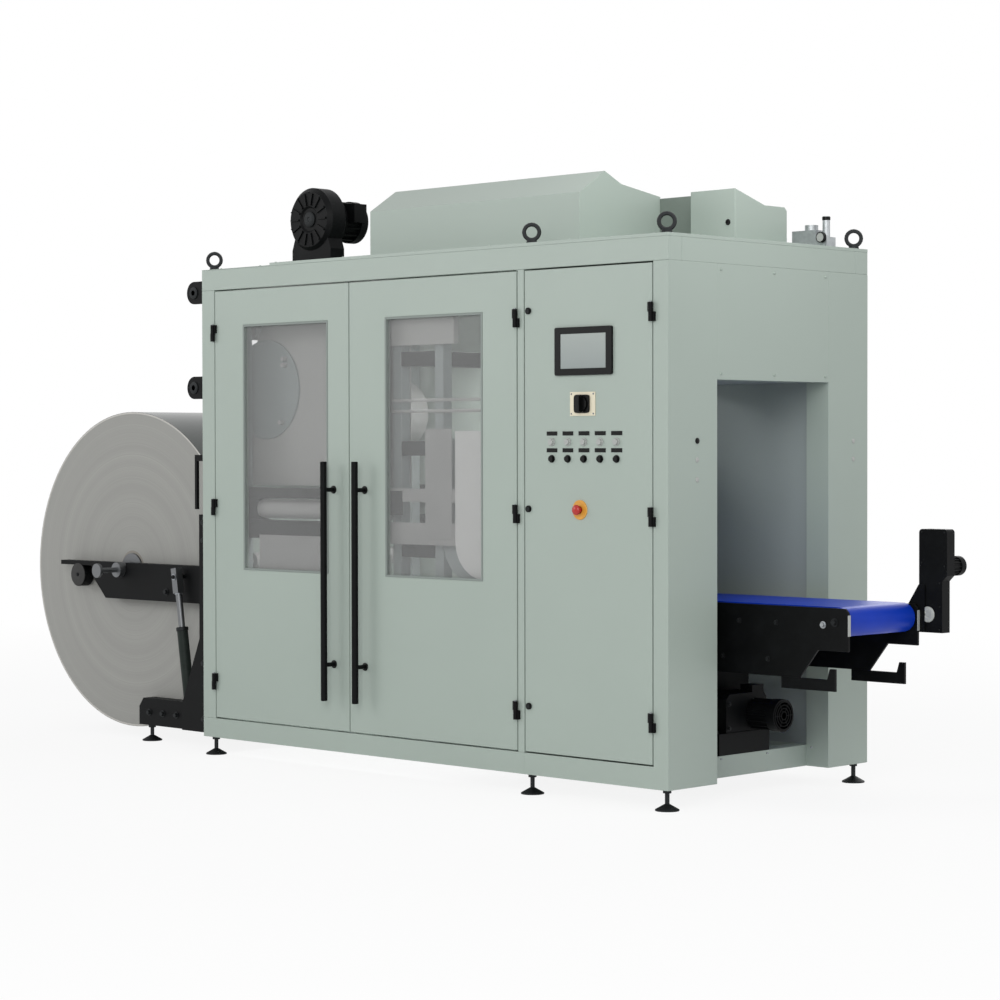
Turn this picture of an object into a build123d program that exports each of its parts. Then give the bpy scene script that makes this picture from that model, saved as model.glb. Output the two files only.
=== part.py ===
"""Form, fill and seal machine: cabinet, film reel on its lifting arms, and discharge conveyor.

Millimetres, Z up. X runs with the film, from the reel to the conveyor. The origin is on the
floor, at the middle of the pad of the front left levelling foot.
"""
from build123d import *
from math import cos, hypot, radians, sin
import os

os.makedirs("parts", exist_ok=True)

# Cabinet
cabinet_depth = 1238
cabinet_bottom = 80
cabinet_top = 2150
foot_inset = 40
post_size = 80
rail_height = 85
top_rail_height = 90
sheet = 3
roof_plate_thickness = 13

# Doors
leaf_thickness = 30
leaf_gap = 6
front_post_width = 85
left_leaf_width = 876
right_leaf_width = 978
mid_post_width = 34
control_leaf_width = 659
window_left_margin = 190
window_right_margin = 188
window_bottom = 830
window_top = 1901
pane_thickness = 6
hinge_radius = 9
hinge_stand_off = 12
hinge_half = 36
hinge_gap = 0.3
hinge_lug = 16

# Discharge end
jamb_width = 73
control_cabinet_depth = 285
tunnel_back = 978
tunnel_top = 1620
threshold_recess = 110

# Conveyor
belt_width = 410
belt_top = 768
belt_thickness = 4
roller_radius = 52
belt_lead_in = 532
belt_reach = 524
side_plate_thickness = 12
side_gap = 8

# Reel and lifting arms
reel_radius = 742
reel_width = 800
reel_offset = 790
core_radius = 76
shaft_radius = 35
arm_thickness = 50
arm_height = 170
arm_pivot_height = 740
reel_axis_rise = 52

# Guide rollers
guide_radius = 46
guide_offset = 70
upper_guide_height = 2055
lower_guide_height = 1632

left = -foot_inset
front = -foot_inset
back = front + cabinet_depth
middle = (front + back) / 2
rail_top = cabinet_bottom + rail_height
top_rail_bottom = cabinet_top - top_rail_height
leaf_bottom = rail_top + leaf_gap
leaf_top = top_rail_bottom - leaf_gap
left_leaf_start = left + front_post_width + leaf_gap
left_leaf_end = left_leaf_start + left_leaf_width - leaf_gap / 2
right_leaf_start = left_leaf_end + leaf_gap
right_leaf_end = right_leaf_start + right_leaf_width - leaf_gap
mid_post_start = right_leaf_end + leaf_gap
mid_post_end = mid_post_start + mid_post_width
control_leaf_start = mid_post_end + leaf_gap
control_leaf_end = control_leaf_start + control_leaf_width
jamb_start = control_leaf_end + leaf_gap
right = jamb_start + jamb_width


def block(x0, x1, y0, y1, z0, z1):
    """Adds a box between two corners."""
    with Locations(((x0 + x1) / 2, (y0 + y1) / 2, (z0 + z1) / 2)):
        Box(x1 - x0, y1 - y0, z1 - z0)


def hollow(x0, x1, y0, y1, z0, z1):
    """Cuts a box between two corners."""
    with Locations(((x0 + x1) / 2, (y0 + y1) / 2, (z0 + z1) / 2)):
        Box(x1 - x0, y1 - y0, z1 - z0, mode=Mode.SUBTRACT)


def disc_y(x, z, radius, y0, y1):
    """Adds a round bar that runs along Y."""
    with BuildSketch(Plane.XZ.offset(-y0)) as profile:
        with Locations((x, z)):
            Circle(radius)
    extrude(profile.sketch, amount=-(y1 - y0))


def disc_x(y, z, radius, x0, x1):
    """Adds a round bar that runs along X."""
    with BuildSketch(Plane.YZ.offset(x0)) as profile:
        with Locations((y, z)):
            Circle(radius)
    extrude(profile.sketch, amount=x1 - x0)


def disc_z(x, y, radius, z0, z1):
    """Adds an upright round bar."""
    with BuildSketch(Plane.XY.offset(z0)) as profile:
        with Locations((x, y)):
            Circle(radius)
    extrude(profile.sketch, amount=z1 - z0)


def hexagon_y(x, z, radius, y0, y1):
    """Adds a hexagonal shaft that runs along Y."""
    with BuildSketch(Plane.XZ.offset(-y0)) as profile:
        with Locations((x, z)):
            RegularPolygon(radius, 6)
    extrude(profile.sketch, amount=-(y1 - y0))


def finned_motor(seat, radius, length):
    """Adds a motor that stands on a plane: a finned body, then the cowl over its fan."""
    cowl_length = 0.3 * length
    body_length = length - cowl_length
    with BuildSketch(seat) as body:
        Circle(0.84 * radius)
    extrude(body.sketch, amount=body_length)
    with Locations(seat.offset(body_length / 2)):
        with PolarLocations(0.88 * radius, 16):
            Box(0.16 * radius, 0.07 * radius, body_length)
    with BuildSketch(seat.offset(body_length)) as cowl:
        Circle(radius)
    extrude(cowl.sketch, amount=cowl_length)


def plate_y(points, y0, y1):
    """Adds a plate with an outline in X and Z that runs from y0 to y1."""
    with BuildSketch(Plane.XZ.offset(-y0)) as profile:
        with BuildLine():
            Polyline(*points, close=True)
        make_face()
    extrude(profile.sketch, amount=-(y1 - y0))


def plate_x(points, x0, x1):
    """Adds a plate with an outline in Y and Z that runs from x0 to x1."""
    with BuildSketch(Plane.YZ.offset(x0)) as profile:
        with BuildLine():
            Polyline(*points, close=True)
        make_face()
    extrude(profile.sketch, amount=x1 - x0)


def save(builder, name):
    """Labels a finished piece and writes it."""
    builder.part.label = name
    export_step(builder.part, f"parts/{name}.step")


# Frame
threshold_end = right - threshold_recess
cabinet_back = front + control_cabinet_depth
with BuildPart() as long_rails:
    block(left, mid_post_end, front, front + post_size, cabinet_bottom, rail_top)
    block(left, threshold_end, back - post_size, back, cabinet_bottom, rail_top)
    block(left, right, front, front + post_size, top_rail_bottom, cabinet_top)
    block(left, right, back - post_size, back, top_rail_bottom, cabinet_top)
save(long_rails, "long_rails")

with BuildPart() as cross_rails:
    for start in (left, mid_post_end - post_size):
        block(start, start + post_size, front + post_size, back - post_size, cabinet_bottom, rail_top)
    block(
        threshold_end - post_size, threshold_end, cabinet_back, back - post_size, cabinet_bottom, rail_top,
    )
    for start in (left, mid_post_end - post_size, right - post_size):
        block(start, start + post_size, front + post_size, back - post_size, top_rail_bottom, cabinet_top)
save(cross_rails, "cross_rails")

with BuildPart() as posts:
    block(left, left + front_post_width, front, front + post_size, rail_top, top_rail_bottom)
    block(mid_post_start, mid_post_end, front, front + post_size, rail_top, top_rail_bottom)
    block(left, left + post_size, back - post_size, back, rail_top, top_rail_bottom)
    block(mid_post_start, mid_post_end, back - post_size, back, rail_top, top_rail_bottom)
save(posts, "posts")

roof_step = left + 455
roof_top = cabinet_top + roof_plate_thickness
with BuildPart() as roof_plates:
    block(left, roof_step, front, back, cabinet_top, cabinet_top + sheet)
    block(roof_step + 5, right, front, back, cabinet_top, roof_top)
save(roof_plates, "roof_plates")

panel_back = back - 10
middle_seam = (left + post_size + mid_post_start) / 2
inlet_bottom = 1700
inlet_top = 1980
end_skin = left + 5
with BuildPart() as cover_panels:
    for start, end in (
        (left + post_size, middle_seam - 1),
        (middle_seam + 1, mid_post_start),
        (mid_post_end, threshold_end),
    ):
        block(start, end, panel_back - sheet, panel_back, rail_top, top_rail_bottom)
    block(end_skin, end_skin + sheet, front + post_size, back - post_size, rail_top, inlet_bottom)
    block(end_skin, end_skin + sheet, front + post_size, back - post_size, inlet_top, top_rail_bottom)
save(cover_panels, "cover_panels")

# Discharge end: control cabinet, rear column and header stand flush round the opening.
plate_clear = 40
with BuildPart() as control_cabinet:
    block(mid_post_end, right, front, cabinet_back, cabinet_bottom, top_rail_bottom)
    hollow(mid_post_end + sheet, jamb_start, front - 1, cabinet_back - sheet, rail_top, top_rail_bottom + 1)
    hollow(
        mid_post_end - 1, mid_post_end + sheet + 1, front - 1, front + leaf_thickness + 5,
        rail_top, top_rail_bottom + 1,
    )
    block(
        mid_post_end + plate_clear, jamb_start - plate_clear, cabinet_back - 5 * sheet, cabinet_back - sheet,
        rail_top + plate_clear, top_rail_bottom - plate_clear,
    )
save(control_cabinet, "control_cabinet")

column_front = front + tunnel_back
with BuildPart() as rear_column:
    block(threshold_end, right, column_front, back, cabinet_bottom, top_rail_bottom)
save(rear_column, "rear_column")

with BuildPart() as end_header:
    block(right - post_size, right, cabinet_back, column_front, tunnel_top, top_rail_bottom)
save(end_header, "end_header")

lining_back = column_front + 15
with BuildPart() as tunnel_lining:
    block(mid_post_end, threshold_end - 1, lining_back, lining_back + sheet, rail_top, tunnel_top)
    block(mid_post_end, right - post_size, cabinet_back, column_front, tunnel_top, tunnel_top + sheet)
    block(mid_post_end, threshold_end - 1, column_front, lining_back + sheet, tunnel_top, tunnel_top + sheet)
save(tunnel_lining, "tunnel_lining")

pad_radius = 46
pad_rim = 5
pad_height = 26
stem_radius = 9
nut_radius = 17
nut_height = 14
rear_foot = back - foot_inset
mid_foot = mid_post_start + foot_inset
right_foot = right - foot_inset
feet = [
    (0, 0), (mid_foot, 0), (right_foot, 0),
    (0, rear_foot), (mid_foot, rear_foot), (right_foot, rear_foot),
]


def foot(x, y, top):
    """Adds a levelling foot: a coned pad, its threaded stem and the lock nut under the frame."""
    with BuildSketch(Plane.XZ.offset(-y)) as profile:
        with BuildLine():
            Polyline(
                (x, 0), (x + pad_radius, 0), (x + pad_radius, pad_rim),
                (x + stem_radius, pad_height), (x, pad_height), close=True,
            )
        make_face()
    revolve(profile.sketch, axis=Axis((x, y, 0), (0, 0, 1)))
    with BuildSketch(Plane.XY.offset(pad_height)) as stem:
        with Locations((x, y)):
            RegularPolygon(stem_radius, 12)
    extrude(stem.sketch, amount=top - pad_height)
    with BuildSketch(Plane.XY.offset(top - nut_height)) as nut:
        with Locations((x, y)):
            RegularPolygon(nut_radius, 6)
    extrude(nut.sketch, amount=nut_height)


eye_ring = 30
eye_wire = 8
eye_collar = 22
eye_neck = 14
eye_sides = 20
eye_turn = 40
eye_axis = (sin(radians(eye_turn)), -cos(radians(eye_turn)), 0)
eye_across = (cos(radians(eye_turn)), sin(radians(eye_turn)), 0)
eyes = [(x, y, roof_top if x > 0 else cabinet_top + sheet) for x, y in feet]
with BuildPart() as lifting_eyes:
    for x, y, seat in eyes:
        with BuildSketch(Plane.XY.offset(seat)):
            with Locations((x, y)):
                RegularPolygon(eye_collar, eye_sides)
        extrude(amount=eye_neck, taper=12)
        with BuildSketch(Plane(origin=(x, y, seat + eye_neck + eye_ring), x_dir=eye_across, z_dir=eye_axis)):
            RegularPolygon(eye_ring + eye_wire, eye_sides)
            RegularPolygon(eye_ring - eye_wire, eye_sides, mode=Mode.SUBTRACT)
        extrude(amount=eye_wire, both=True, taper=25)
save(lifting_eyes, "lifting_eyes")

# Roof equipment
hood_start = left + 830
hood_end = hood_start + 1220
hood_front = front + 250
hood_back = hood_front + 490
hood_eaves = roof_top + 212
hood_ridge = roof_top + 307
hood_fall = roof_top + 225
hood_outline = [
    (hood_front, roof_top), (hood_front, hood_eaves), (hood_front + 150, hood_ridge),
    (hood_front + 250, hood_ridge - 46), (hood_back, hood_fall), (hood_back, roof_top),
]
with BuildPart() as main_hood:
    plate_x(hood_outline, hood_start, hood_end)
save(main_hood, "main_hood")

rear_hood_back = back - 238
rear_hood_front = rear_hood_back - 331
rear_hood_start = hood_end + 220
rear_hood_end = rear_hood_start + 230
rear_hood_shelf = hood_fall - 56
rear_hood_outline = [
    (rear_hood_front, roof_top), (rear_hood_front, hood_fall), (rear_hood_front + 189, rear_hood_shelf),
    (rear_hood_back - 15, rear_hood_shelf), (rear_hood_back, rear_hood_shelf - 15),
    (rear_hood_back, roof_top),
]
with BuildPart() as rear_hood:
    plate_x(rear_hood_outline, rear_hood_start, rear_hood_end)
save(rear_hood, "rear_hood")

duct_height = 217
with BuildPart() as hood_duct:
    block(hood_end, rear_hood_start, hood_back - 5, rear_hood_front + 231, roof_top, roof_top + duct_height)
save(hood_duct, "hood_duct")

# The blower: a ring casing with radial ribs on a pedestal, and its motor behind it
blower_x = left + 490
blower_rise = 210
blower_z = cabinet_top + blower_rise
blower_front = front + 200
casing_radius = 138
casing_depth = 110
casing_bevel = 18
hub_radius = 50
hub_depth = 8
rib_count = 14
rib_length = 52
rib_width = 8
pedestal_half = 125
pedestal_inset = 15
foot_length = 70
foot_height = 27
motor_radius = 92
motor_length = 128
flange_radius = 116
flange_length = 32
thin_roof_top = cabinet_top + sheet
blower_axis = Axis((blower_x, blower_front, blower_z), (0, 1, 0))
with BuildPart() as blower_casing:
    with BuildSketch(Plane.YZ.offset(blower_x)):
        with BuildLine():
            Polyline(
                (blower_front + hub_depth, blower_z),
                (blower_front + hub_depth, blower_z + hub_radius),
                (blower_front, blower_z + hub_radius + hub_depth),
                (blower_front, blower_z + casing_radius - casing_bevel),
                (blower_front + casing_bevel, blower_z + casing_radius),
                (blower_front + casing_depth - casing_bevel, blower_z + casing_radius),
                (blower_front + casing_depth, blower_z + casing_radius - casing_bevel),
                (blower_front + casing_depth, blower_z),
                close=True,
            )
        make_face()
    revolve(axis=blower_axis)
    rib_middle = hub_radius + hub_depth + rib_length / 2 + 4
    with Locations(Plane(origin=(blower_x, blower_front, blower_z), x_dir=(1, 0, 0), z_dir=(0, -1, 0))):
        with PolarLocations(rib_middle, rib_count):
            Box(rib_length, rib_width, 12)
    pedestal_front = blower_front + pedestal_inset
    pedestal_back = blower_front + casing_depth - pedestal_inset
    pedestal_bottom = thin_roof_top + foot_height
    plate_y(
        [
            (blower_x - pedestal_half, pedestal_bottom), (blower_x + pedestal_half, pedestal_bottom),
            (blower_x + pedestal_half, pedestal_bottom + 50), (blower_x + 100, blower_z - 60),
            (blower_x - 100, blower_z - 60), (blower_x - pedestal_half, pedestal_bottom + 50),
        ],
        pedestal_front, pedestal_back,
    )
    block(
        blower_x - pedestal_half, blower_x - pedestal_half + foot_length, pedestal_front, pedestal_back,
        thin_roof_top, pedestal_bottom,
    )
    block(
        blower_x + pedestal_half - foot_length, blower_x + pedestal_half, pedestal_front, pedestal_back,
        roof_top, pedestal_bottom,
    )
save(blower_casing, "blower_casing")

motor_front = blower_front + casing_depth
terminal_box = 90
terminal_front = motor_front + flange_length + 10
with BuildPart() as blower_motor:
    disc_y(blower_x, blower_z, flange_radius - casing_bevel, motor_front, motor_front + flange_length)
    finned_motor(
        Plane(origin=(blower_x, motor_front + flange_length, blower_z), x_dir=(1, 0, 0), z_dir=(0, 1, 0)),
        motor_radius, motor_length,
    )
    block(
        blower_x + 40, blower_x + 40 + terminal_box, terminal_front, terminal_front + 0.8 * terminal_box,
        blower_z - 10, blower_z - 10 + 0.9 * terminal_box,
    )
save(blower_motor, "blower_motor")

# The air service unit: body, filter dome, regulator knob and gauge
service_y = back - 188
service_front = service_y - 30
service_back = service_y + 30
service_x0 = right - 216
service_x1 = right - 42
service_top = roof_top + 42
unit_top = roof_top + 72
gauge_radius = 21
with BuildPart() as roof_fittings:
    block(service_x0, service_x1, service_front, service_back, roof_top, service_top)
    block(service_x0, service_x0 + 120, service_front, service_back, service_top, unit_top)
    disc_z(service_x0 + 76, service_y, 27, unit_top, unit_top + 22)
    disc_z(service_x0 + 150, service_y, 15, service_top, service_top + 84)
    disc_y(service_x1 - gauge_radius, service_top - 2, gauge_radius, service_front - 14, service_front)
save(roof_fittings, "roof_fittings")

# Doors
hinge_y = front - hinge_stand_off
left_hinge_x = left_leaf_start - leaf_gap / 2
right_hinge_x = right_leaf_end + leaf_gap / 2
control_hinge_x = control_leaf_end + leaf_gap / 2
hinge_heights = [330, 1102, 1870]


def hinge(x, z, side, upper):
    """Adds one half of a hinge: a lug on its own side of the pin, and half of the barrel."""
    z0 = z + hinge_gap / 2 if upper else z - hinge_half
    z1 = z + hinge_half if upper else z - hinge_gap / 2
    disc_z(x, hinge_y, hinge_radius, z0, z1)
    block(min(x, x + side * hinge_lug), max(x, x + side * hinge_lug), hinge_y, front, z0, z1)


def leaf(x0, x1, window=None):
    """Adds a door leaf: a folded sheet tray with its rims, and a window cut in it."""
    block(x0, x1, front, front + leaf_thickness, leaf_bottom, leaf_top)
    rim = 40
    tray_back = front + leaf_thickness + 1
    if window is None:
        hollow(x0 + rim, x1 - rim, front + 2, tray_back, leaf_bottom + rim, leaf_top - rim)
    else:
        w0, w1 = window
        hollow(x0 + rim, x1 - rim, front + 2, tray_back, leaf_bottom + rim, window_bottom - rim)
        hollow(w0, w1, front - 1, tray_back, window_bottom, window_top)


handle_stand_off = 58
handle_bar_radius = 14
handle_post_radius = 9
handle_bottom = 300
handle_top = 1304
handle_posts = (handle_bottom + 150, handle_top - 117)


def bar_handle(x):
    """Adds an upright bar handle on two stand-offs."""
    bar_y = front - handle_stand_off
    disc_z(x, bar_y, handle_bar_radius, handle_bottom, handle_top)
    for z in handle_posts:
        disc_y(x, z, handle_post_radius, bar_y, front)


leaves = {
    "left": (left_leaf_start, left_leaf_end, left_hinge_x, 1, left_leaf_end - 94),
    "right": (right_leaf_start, right_leaf_end, right_hinge_x, -1, right_leaf_start + 93),
}
for side_name, (x0, x1, hinge_x, inward, handle_x) in leaves.items():
    if side_name == "left":
        window = (x0 + window_left_margin, x1 - 130)
    else:
        window = (x0 + 217, x1 - window_right_margin)
    with BuildPart() as door_leaf:
        leaf(x0, x1, window)
    save(door_leaf, f"{side_name}_door_leaf")
    with BuildPart() as door_window:
        block(window[0], window[1], front + 10, front + 10 + pane_thickness, window_bottom, window_top)
    save(door_window, f"{side_name}_door_window")
    with BuildPart() as door_handle:
        bar_handle(handle_x)
    save(door_handle, f"{side_name}_door_handle")
    with BuildPart() as door_hinges:
        for z in hinge_heights:
            hinge(hinge_x, z, inward, True)
    save(door_hinges, f"{side_name}_door_hinges")

with BuildPart() as control_door_leaf:
    leaf(control_leaf_start, control_leaf_end)
save(control_door_leaf, "control_door_leaf")

with BuildPart() as control_door_hinges:
    for z in hinge_heights:
        hinge(control_hinge_x, z, -1, True)
save(control_door_hinges, "control_door_hinges")

with BuildPart() as frame_hinges:
    for z in hinge_heights:
        hinge(left_hinge_x, z, -1, False)
        hinge(right_hinge_x, z, 1, False)
        hinge(control_hinge_x, z, 1, False)
save(frame_hinges, "frame_hinges")

lock_x = control_leaf_start + 22
with BuildPart() as door_locks:
    for z in (350, 1123, 1896):
        disc_y(lock_x, z, 13, front - 8, front)
save(door_locks, "door_locks")

screen_x0 = control_leaf_start + 168
screen_x1 = screen_x0 + 296
with BuildPart() as operator_screen:
    block(screen_x0, screen_x1, front - 10, front, 1640, 1825)
    fillet(operator_screen.edges().filter_by(Axis.Y), 8)
    hollow(screen_x0 + 30, screen_x1 - 30, front - 11, front - 7, 1665, 1800)
save(operator_screen, "operator_screen")

switch_x = control_leaf_start + 309
switch_z = 1530
plate_half_width = 65
plate_half_height = 46
with BuildPart() as main_switch_plate:
    block(
        switch_x - plate_half_width, switch_x + plate_half_width, front - 4, front,
        switch_z - plate_half_height, switch_z + plate_half_height,
    )
save(main_switch_plate, "main_switch_plate")

switch_gap = 0.3
with BuildPart() as main_switch_knob:
    disc_y(switch_x, switch_z, 31, front - 18, front - 4 - switch_gap)
    block(switch_x - 8, switch_x + 8, front - 34, front - 18, switch_z - 31, switch_z + 31)
save(main_switch_knob, "main_switch_knob")

button_pitch = 84
button_columns = [control_leaf_start + 146 + button_pitch * i for i in range(5)]
button_rows = (1384, 1319)
button_bezel = 15
button_cap = 11
with BuildPart() as push_buttons:
    for x in button_columns:
        for z in button_rows:
            for radius, depth in ((button_bezel, 4), (button_cap, 12)):
                with BuildSketch(Plane.XZ.offset(-(front - depth))):
                    with Locations((x, z)):
                        RegularPolygon(radius, 16)
                extrude(amount=-depth)
save(push_buttons, "push_buttons")

stop_x = control_leaf_start + 293
stop_z = 1123
with BuildPart() as emergency_stop:
    disc_y(stop_x, stop_z, 36, front - 2, front)
    disc_y(stop_x, stop_z, 13, front - 20, front - 2)
    disc_y(stop_x, stop_z, 20, front - 34, front - 20)
    chamfer(emergency_stop.edges().sort_by(Axis.Y)[0], 6)
save(emergency_stop, "emergency_stop")

# Film guide rollers on the left end
guide_x = left - guide_offset
bracket_thickness = 8
bracket_radius = 50
journal_radius = 12
journal_clear = 0.3
guide_y0 = front + 12
guide_y1 = back - 12
hook_x = left - 70
hook_size = 14
hook_bottom = 1090
hook_top = 1333
guide_heights = {"upper": upper_guide_height, "lower": lower_guide_height}
for place, z in guide_heights.items():
    with BuildPart() as guide_roller:
        disc_y(guide_x, z, guide_radius, guide_y0 + bracket_thickness + 5, guide_y1 - bracket_thickness - 5)
        disc_y(guide_x, z, journal_radius, guide_y0 - 6, guide_y1 + 6)
    save(guide_roller, f"{place}_guide_roller")

with BuildPart() as roller_brackets:
    for z in guide_heights.values():
        for y in (guide_y0, guide_y1 - bracket_thickness):
            with BuildSketch(Plane.XZ.offset(-y)):
                with Locations((guide_x, z)):
                    Circle(bracket_radius)
                with Locations(((guide_x + left) / 2, z)):
                    Rectangle(left - guide_x, 2 * bracket_radius)
                with Locations((guide_x, z)):
                    Circle(journal_radius + journal_clear, mode=Mode.SUBTRACT)
            extrude(amount=-bracket_thickness)
    block(hook_x, hook_x + hook_size, guide_y0, guide_y0 + hook_size, hook_bottom, hook_top)
    block(hook_x + hook_size, left, guide_y0, guide_y0 + hook_size, hook_top - 2 * hook_size, hook_top)
save(roller_brackets, "roller_brackets")

# Unwinder: posts bolted to the left end, base rails, lifting arms, reel and lifting cylinders
reel_axis_height = arm_pivot_height + reel_axis_rise
arm_bottom = arm_pivot_height - arm_height / 2
arm_top = arm_bottom + arm_height
unwinder_post_depth = 70
unwinder_post_width = 40
unwinder_post_bottom = 90
unwinder_post_top = arm_pivot_height + 326
reel_x = left - reel_offset
reel_front = middle - reel_width / 2
reel_back = middle + reel_width / 2
arm_clear = 20
arm_front_y = reel_front - arm_clear - arm_thickness
arm_back_y = reel_back + arm_clear
post_clear = 35
base_rail_width = 65
base_rail_start = left - 655
base_rail_top = 200
base_rail_bottom = 75
near_rail_y = reel_front - 5 - base_rail_width
far_rail_y = reel_back + 5
unwinder_foot_x = left - 600
with BuildPart() as levelling_feet:
    for x, y in feet:
        foot(x, y, cabinet_bottom)
    for y in (near_rail_y + base_rail_width / 2, far_rail_y + base_rail_width / 2):
        foot(unwinder_foot_x, y, base_rail_bottom)
save(levelling_feet, "levelling_feet")

pivot_x = left - 45
pivot_radius = 20
shaft_clear = 0.3
post_left = left - unwinder_post_depth
post_toe = left - 197
post_outline = [
    (left, unwinder_post_bottom), (left, unwinder_post_top), (post_left, unwinder_post_top),
    (post_left, 510), (post_toe, base_rail_top + 5), (post_toe, unwinder_post_bottom),
]
near_post_face = front + post_clear + unwinder_post_width
far_post_face = back - post_clear - unwinder_post_width
with BuildPart() as unwinder_posts:
    plate_y(post_outline, near_post_face - unwinder_post_width, near_post_face)
    plate_y(post_outline, far_post_face, far_post_face + unwinder_post_width)
    disc_y(pivot_x, arm_pivot_height, pivot_radius, near_post_face, arm_front_y + arm_thickness)
    disc_y(pivot_x, arm_pivot_height, pivot_radius, arm_back_y, far_post_face)
save(unwinder_posts, "unwinder_posts")

with BuildPart() as film_reel:
    disc_y(reel_x, reel_axis_height, reel_radius, reel_front, reel_back)
    with BuildSketch(Plane.XZ.offset(-reel_front)):
        with Locations((reel_x, reel_axis_height)):
            Circle(core_radius)
    extrude(amount=-reel_width, mode=Mode.SUBTRACT)
save(film_reel, "film_reel")

# The shaft rests in the arms' saddles. Outside each arm it has a collar, a spigot and a hand knob.
collar_reach = 30
spigot_radius = 12
knob_reach = 144
knob_radius = 33
knob_thickness = 15
arms_front = arm_front_y
arms_back = arm_back_y + arm_thickness
with BuildPart() as reel_shaft:
    disc_y(reel_x, reel_axis_height, shaft_radius, arms_front - collar_reach, arms_back + collar_reach)
    disc_y(reel_x, reel_axis_height, core_radius - shaft_clear, reel_front - 8, reel_back + 8)
    disc_y(reel_x, reel_axis_height, spigot_radius, arms_front - knob_reach, arms_front - collar_reach)
    disc_y(reel_x, reel_axis_height, spigot_radius, arms_back + collar_reach, arms_back + knob_reach)
    for knob_start in (arms_front - knob_reach, arms_back + knob_reach - knob_thickness):
        disc_y(reel_x, reel_axis_height, knob_radius, knob_start, knob_start + knob_thickness)
save(reel_shaft, "reel_shaft")

# Lifting cylinders: a barrel on the base rail and a rod whose eye takes the arm's pin
barrel_foot = (left - 226, base_rail_top - 50)
rod_eye = (left - 322, arm_pivot_height + 35)
lean = (rod_eye[0] - barrel_foot[0], rod_eye[1] - barrel_foot[1])
reach = hypot(*lean)
lean_x, lean_z = lean[0] / reach, lean[1] / reach
barrel_radius = 25
barrel_start = 20
barrel_length = 380
barrel_bore_start = 200
rod_start = 260
rod_radius = 15
barrel_wall_gap = 0.5
clevis_width = 36
clevis_tail = 75
clevis_length = 115
cylinder_gap = 21
eye_pin_radius = 9
eye_pin_clear = 2
pin_head = 8
near_cylinder_y = arm_front_y - cylinder_gap - clevis_width / 2
far_cylinder_y = arms_back + cylinder_gap + clevis_width / 2


def along(y, distance):
    """Gives the plane across a cylinder's line, at a distance from its foot."""
    point = (barrel_foot[0] + lean_x * distance, y, barrel_foot[1] + lean_z * distance)
    return Plane(origin=point, x_dir=(0, 1, 0), z_dir=(lean_x, 0, lean_z))


with BuildPart() as cylinder_barrels:
    for y in (near_cylinder_y, far_cylinder_y):
        with BuildSketch(along(y, barrel_start)):
            Circle(barrel_radius)
        extrude(amount=barrel_length)
        disc_y(*barrel_foot, barrel_radius, y - clevis_width / 2, y + clevis_width / 2)
        with BuildSketch(Plane.XZ.offset(-(y - clevis_width))):
            with Locations(barrel_foot):
                Circle(eye_pin_radius + shaft_clear)
        extrude(amount=-2 * clevis_width, mode=Mode.SUBTRACT)
        with BuildSketch(along(y, barrel_bore_start)):
            Circle(rod_radius + barrel_wall_gap)
        extrude(amount=barrel_length, mode=Mode.SUBTRACT)
save(cylinder_barrels, "cylinder_barrels")

with BuildPart() as cylinder_rods:
    for y in (near_cylinder_y, far_cylinder_y):
        with BuildSketch(along(y, rod_start)):
            Circle(rod_radius)
        extrude(amount=reach - rod_start - clevis_tail + 1)
        with BuildSketch(along(y, reach - clevis_tail)):
            Rectangle(clevis_width, clevis_width)
        extrude(amount=clevis_length)
        with BuildSketch(Plane.XZ.offset(-(y - clevis_width))):
            with Locations(rod_eye):
                Circle(eye_pin_radius + eye_pin_clear)
        extrude(amount=-2 * clevis_width, mode=Mode.SUBTRACT)
save(cylinder_rods, "cylinder_rods")

# Lifting arms: an open saddle for the shaft, a chamfered nose, a guard plate and a rubber stop
arm_nose = left - 1000
arm_chamfer = 90
guard_end = left - 1262
guard_thickness = 20
arm_root = left - 20
arm_root_bevel = 30
bumper_x = left - 1125
bumper_radius = 56
arm_outline = [
    (arm_root, arm_bottom + arm_root_bevel), (arm_root, arm_top - arm_root_bevel),
    (arm_root - arm_root_bevel, arm_top), (guard_end, arm_top), (guard_end, arm_top - guard_thickness),
    (arm_nose, arm_top - guard_thickness), (arm_nose, arm_bottom + arm_chamfer),
    (arm_nose + arm_chamfer, arm_bottom), (arm_root - arm_root_bevel, arm_bottom),
]
bumper_z = arm_top - guard_thickness / 2 - bumper_radius
with BuildPart() as lift_arms:
    for y in (arm_front_y, arm_back_y):
        plate_y(arm_outline, y, y + arm_thickness)
        disc_y(bumper_x, bumper_z, bumper_radius, y, y + arm_thickness)
        with BuildSketch(Plane.XZ.offset(-y)):
            with Locations((reel_x, reel_axis_height)):
                Circle(shaft_radius + shaft_clear)
            with Locations((reel_x, reel_axis_height + 50)):
                Rectangle(2 * (shaft_radius + shaft_clear), 100)
            with Locations((pivot_x, arm_pivot_height)):
                Circle(pivot_radius + shaft_clear)
        extrude(amount=-arm_thickness, mode=Mode.SUBTRACT)
    disc_y(*rod_eye, eye_pin_radius, near_cylinder_y - clevis_width / 2 - pin_head, arm_front_y)
    disc_y(*rod_eye, eye_pin_radius, arms_back, far_cylinder_y + clevis_width / 2 + pin_head)
save(lift_arms, "lift_arms")

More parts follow.
